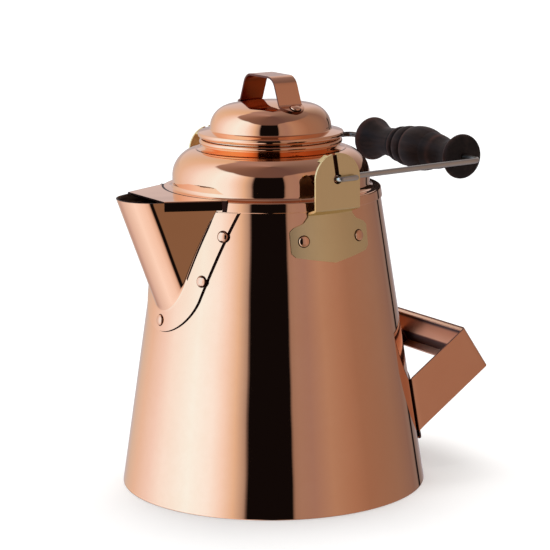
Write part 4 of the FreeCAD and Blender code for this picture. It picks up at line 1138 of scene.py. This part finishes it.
def studio():
    """Soft boxes, a black flag and a dim ceiling, by direction. The camera itself sees plain white."""
    world = bpy.data.worlds.new("studio")
    SCENE.world = world
    world.use_nodes = True
    tree = world.node_tree
    tree.nodes.clear()
    toward = put(tree, "TexCoord").outputs["Generated"]
    x, y, z = put(tree, "SeparateXYZ", {0: toward}).outputs
    turn = maths(tree, "ARCTAN2", x, maths(tree, "MULTIPLY", y, -1.0))
    azimuth = rescaled(tree, turn, -math.pi, math.pi)
    rise = maths(tree, "MULTIPLY", maths(tree, "ARCSINE", z), 2 / math.pi)
    black = (0.006, 0.005, 0.005)
    band = by_azimuth(tree, azimuth, [
        (-180, (0.80, 0.72, 0.52)), (-164, (0.86, 0.78, 0.62)), (-142, (0.97, 1.04, 1.05)),
        (-128, (1.03, 1.29, 1.39)), (-100, (1.04, 1.54, 1.74)),
        (-82, (1.05, 1.38, 1.52)), (-72, (1.00, 1.10, 1.10)),
        (-62, (0.84, 0.78, 0.62)), (-54, (0.46, 0.42, 0.36)), (-52.2, (0.24, 0.20, 0.18)), (-51.8, black),
        (-15.8, black), (-15.3, (0.36, 0.28, 0.22)), (-10, (0.40, 0.31, 0.25)), (0, (0.39, 0.295, 0.25)),
        (15, (0.48, 0.36, 0.26)), (32, (0.43, 0.295, 0.207)), (45, (0.37, 0.25, 0.175)),
        (80, (0.33, 0.247, 0.186)), (102, (0.27, 0.205, 0.165)), (120, (0.40, 0.36, 0.29)),
        (140, (0.66, 0.60, 0.50)), (162, (0.76, 0.69, 0.54)), (180, (0.80, 0.72, 0.52))])
    ceiling = by_azimuth(tree, azimuth, [
        (-180, (0.45, 0.36, 0.33)), (-150, (0.40, 0.31, 0.27)), (-105, (0.27, 0.19, 0.15)),
        (-50, (0.17, 0.115, 0.095)), (0, (0.15, 0.105, 0.10)), (60, (0.21, 0.165, 0.14)),
        (120, (0.30, 0.25, 0.22)), (180, (0.45, 0.36, 0.33))])
    table = by_azimuth(tree, azimuth, [
        (-180, (0.52, 0.40, 0.31)), (-150, (0.82, 0.82, 0.78)), (-100, (1.08, 1.22, 1.26)),
        (-62, (1.00, 1.03, 1.00)), (-46, (0.84, 0.78, 0.70)), (-41, (0.50, 0.42, 0.35)),
        (-38.5, black), (-28.5, black), (-27, (0.25, 0.18, 0.11)),
        (-10, (0.27, 0.19, 0.12)), (20, (0.38, 0.29, 0.22)), (90, (0.42, 0.36, 0.32)), (140, (0.50, 0.42, 0.36)),
        (180, (0.52, 0.40, 0.31))])
    top = by_azimuth(tree, azimuth, [(a, height / 90) for a, height in (
        (-180, 60.0), (-160, 60.0), (-140, 51.0), (-90, 49.0), (-66, 42.0), (-51, 39.0), (-16, 39.0),
        (-12, 45.0), (10, 50.0), (60, 50.0), (110, 44.0), (150, 46.0), (180, 60.0))])
    soft = 2.2 / 90
    low, high = maths(tree, "SUBTRACT", top, soft), maths(tree, "ADD", top, soft)
    seen = mixed(tree, rescaled(tree, rise, low, high, smooth=True), band, ceiling)
    seen = mixed(tree, rescaled(tree, rise, -14 / 90, -25 / 90, smooth=True), seen, table)
    card = by_azimuth(tree, azimuth, [
        (-180, 0.0), (112.0, 0.0), (113.2, 1.0), (117.0, 1.0), (118.4, 0.0)])
    near_level = rescaled(tree, rise, 10 / 90, 7 / 90, smooth=True)
    card = maths(tree, "MULTIPLY", card, near_level)
    limb = by_azimuth(tree, azimuth, [
        (-180, 0.93), (-165, 1.0), (100, 1.0), (122, 0.62), (150, 0.68), (180, 0.93)])
    seen = mixed(tree, near_level, seen, mixed(tree, 1.0, seen, limb, blend="MULTIPLY"))
    seen = mixed(tree, card, seen, (*black, 1.0))
    seen = mixed(tree, 1.0, seen, (0.979, 1.012, 1.34, 1.0), blend="MULTIPLY")
    for_matt = mixed(tree, rescaled(tree, z, -0.2, 1.0), (0.22, 0.21, 0.20, 1.0), (0.85, 0.84, 0.82, 1.0))
    seen = mixed(tree, put(tree, "LightPath").outputs["Is Diffuse Ray"], seen, for_matt)
    camera_sees = put(tree, "LightPath").outputs["Is Camera Ray"]
    seen = mixed(tree, camera_sees, seen, (1.0, 1.0, 1.0, 1.0))
    lit = put(tree, "Background", {"Color": seen, "Strength": 1.0}).outputs[0]
    put(tree, "OutputWorld", {"Surface": lit})


def floor():
    """Pale table top; the polished sides take their tones from the studio instead of from it."""
    rings = np.concatenate([[0.0], np.geomspace(60, 4000, 24)])
    angle = np.linspace(0, 2 * math.pi, 96, endpoint=False)
    points = np.stack([rings[:, None] * np.cos(angle), rings[:, None] * np.sin(angle),
                       np.full((len(rings), len(angle)), -0.15)], -1)
    material = bpy.data.materials.new("pale_table")
    material.use_nodes = True
    tree = material.node_tree
    shader = tree.nodes["Principled BSDF"]
    tone = mixed(tree, noise(tree, 40, 3), (0.90, 0.90, 0.90, 1), (0.93, 0.93, 0.93, 1))
    tree.links.new(tone, shader.inputs["Base Color"])
    for key, value in {"Roughness": 0.9, "Specular IOR Level": 0.0, "Emission Color": (1, 1, 1, 1),
                       "Emission Strength": 0.12}.items():
        shader.inputs[key].default_value = value
    made = mesh_object("table_top", grid_shape(points, wrap=True), [material], inside_out=True)
    made.visible_glossy = False


def overhead():
    light = bpy.data.lights.new("overhead", "SUN")
    light.angle, light.energy = math.radians(44), 1.6
    lamp = bpy.data.objects.new("overhead", light)
    towards_camera = Matrix.Rotation(math.radians(17), 4, (-0.856, 0.517, 0))
    lamp.matrix_world = Matrix.Translation((0, 0, 2)) @ towards_camera
    lamp.visible_glossy = False
    SCENE.collection.objects.link(lamp)


def camera():
    """The camera that stands to the spout's side of the left ear and looks a little down."""
    azimuth, distance, height = math.radians(-31.162), 1400.0, 410.2
    pitch, yaw, roll = math.radians(11.3315), math.radians(-0.0786), math.radians(-0.472)
    eye = Vector((math.sin(azimuth) * distance, -math.cos(azimuth) * distance, height))
    facing = azimuth + yaw
    right = Vector((math.cos(facing), math.sin(facing), 0))
    level = Vector((-math.sin(facing), math.cos(facing), 0))
    ahead = level * math.cos(pitch) - Vector((0, 0, math.sin(pitch)))
    up = right.cross(ahead)
    sine, cosine = math.sin(roll), math.cos(roll)
    right, up = right * cosine + up * sine, up * cosine - right * sine
    data = bpy.data.cameras.new("camera")
    sensor, focal, picture = 36.0, 2291.16, 550        # the last two in pixels of the photo
    data.sensor_width, data.lens = sensor, sensor * focal / picture
    data.clip_start, data.clip_end = 0.05, 50.0
    made = bpy.data.objects.new("camera", data)
    turn = Matrix((right, up, -ahead)).transposed().to_4x4()
    made.matrix_world = Matrix.Translation(eye * MM) @ turn
    SCENE.collection.objects.link(made)
    SCENE.camera = made


studio()
floor()
overhead()
camera()
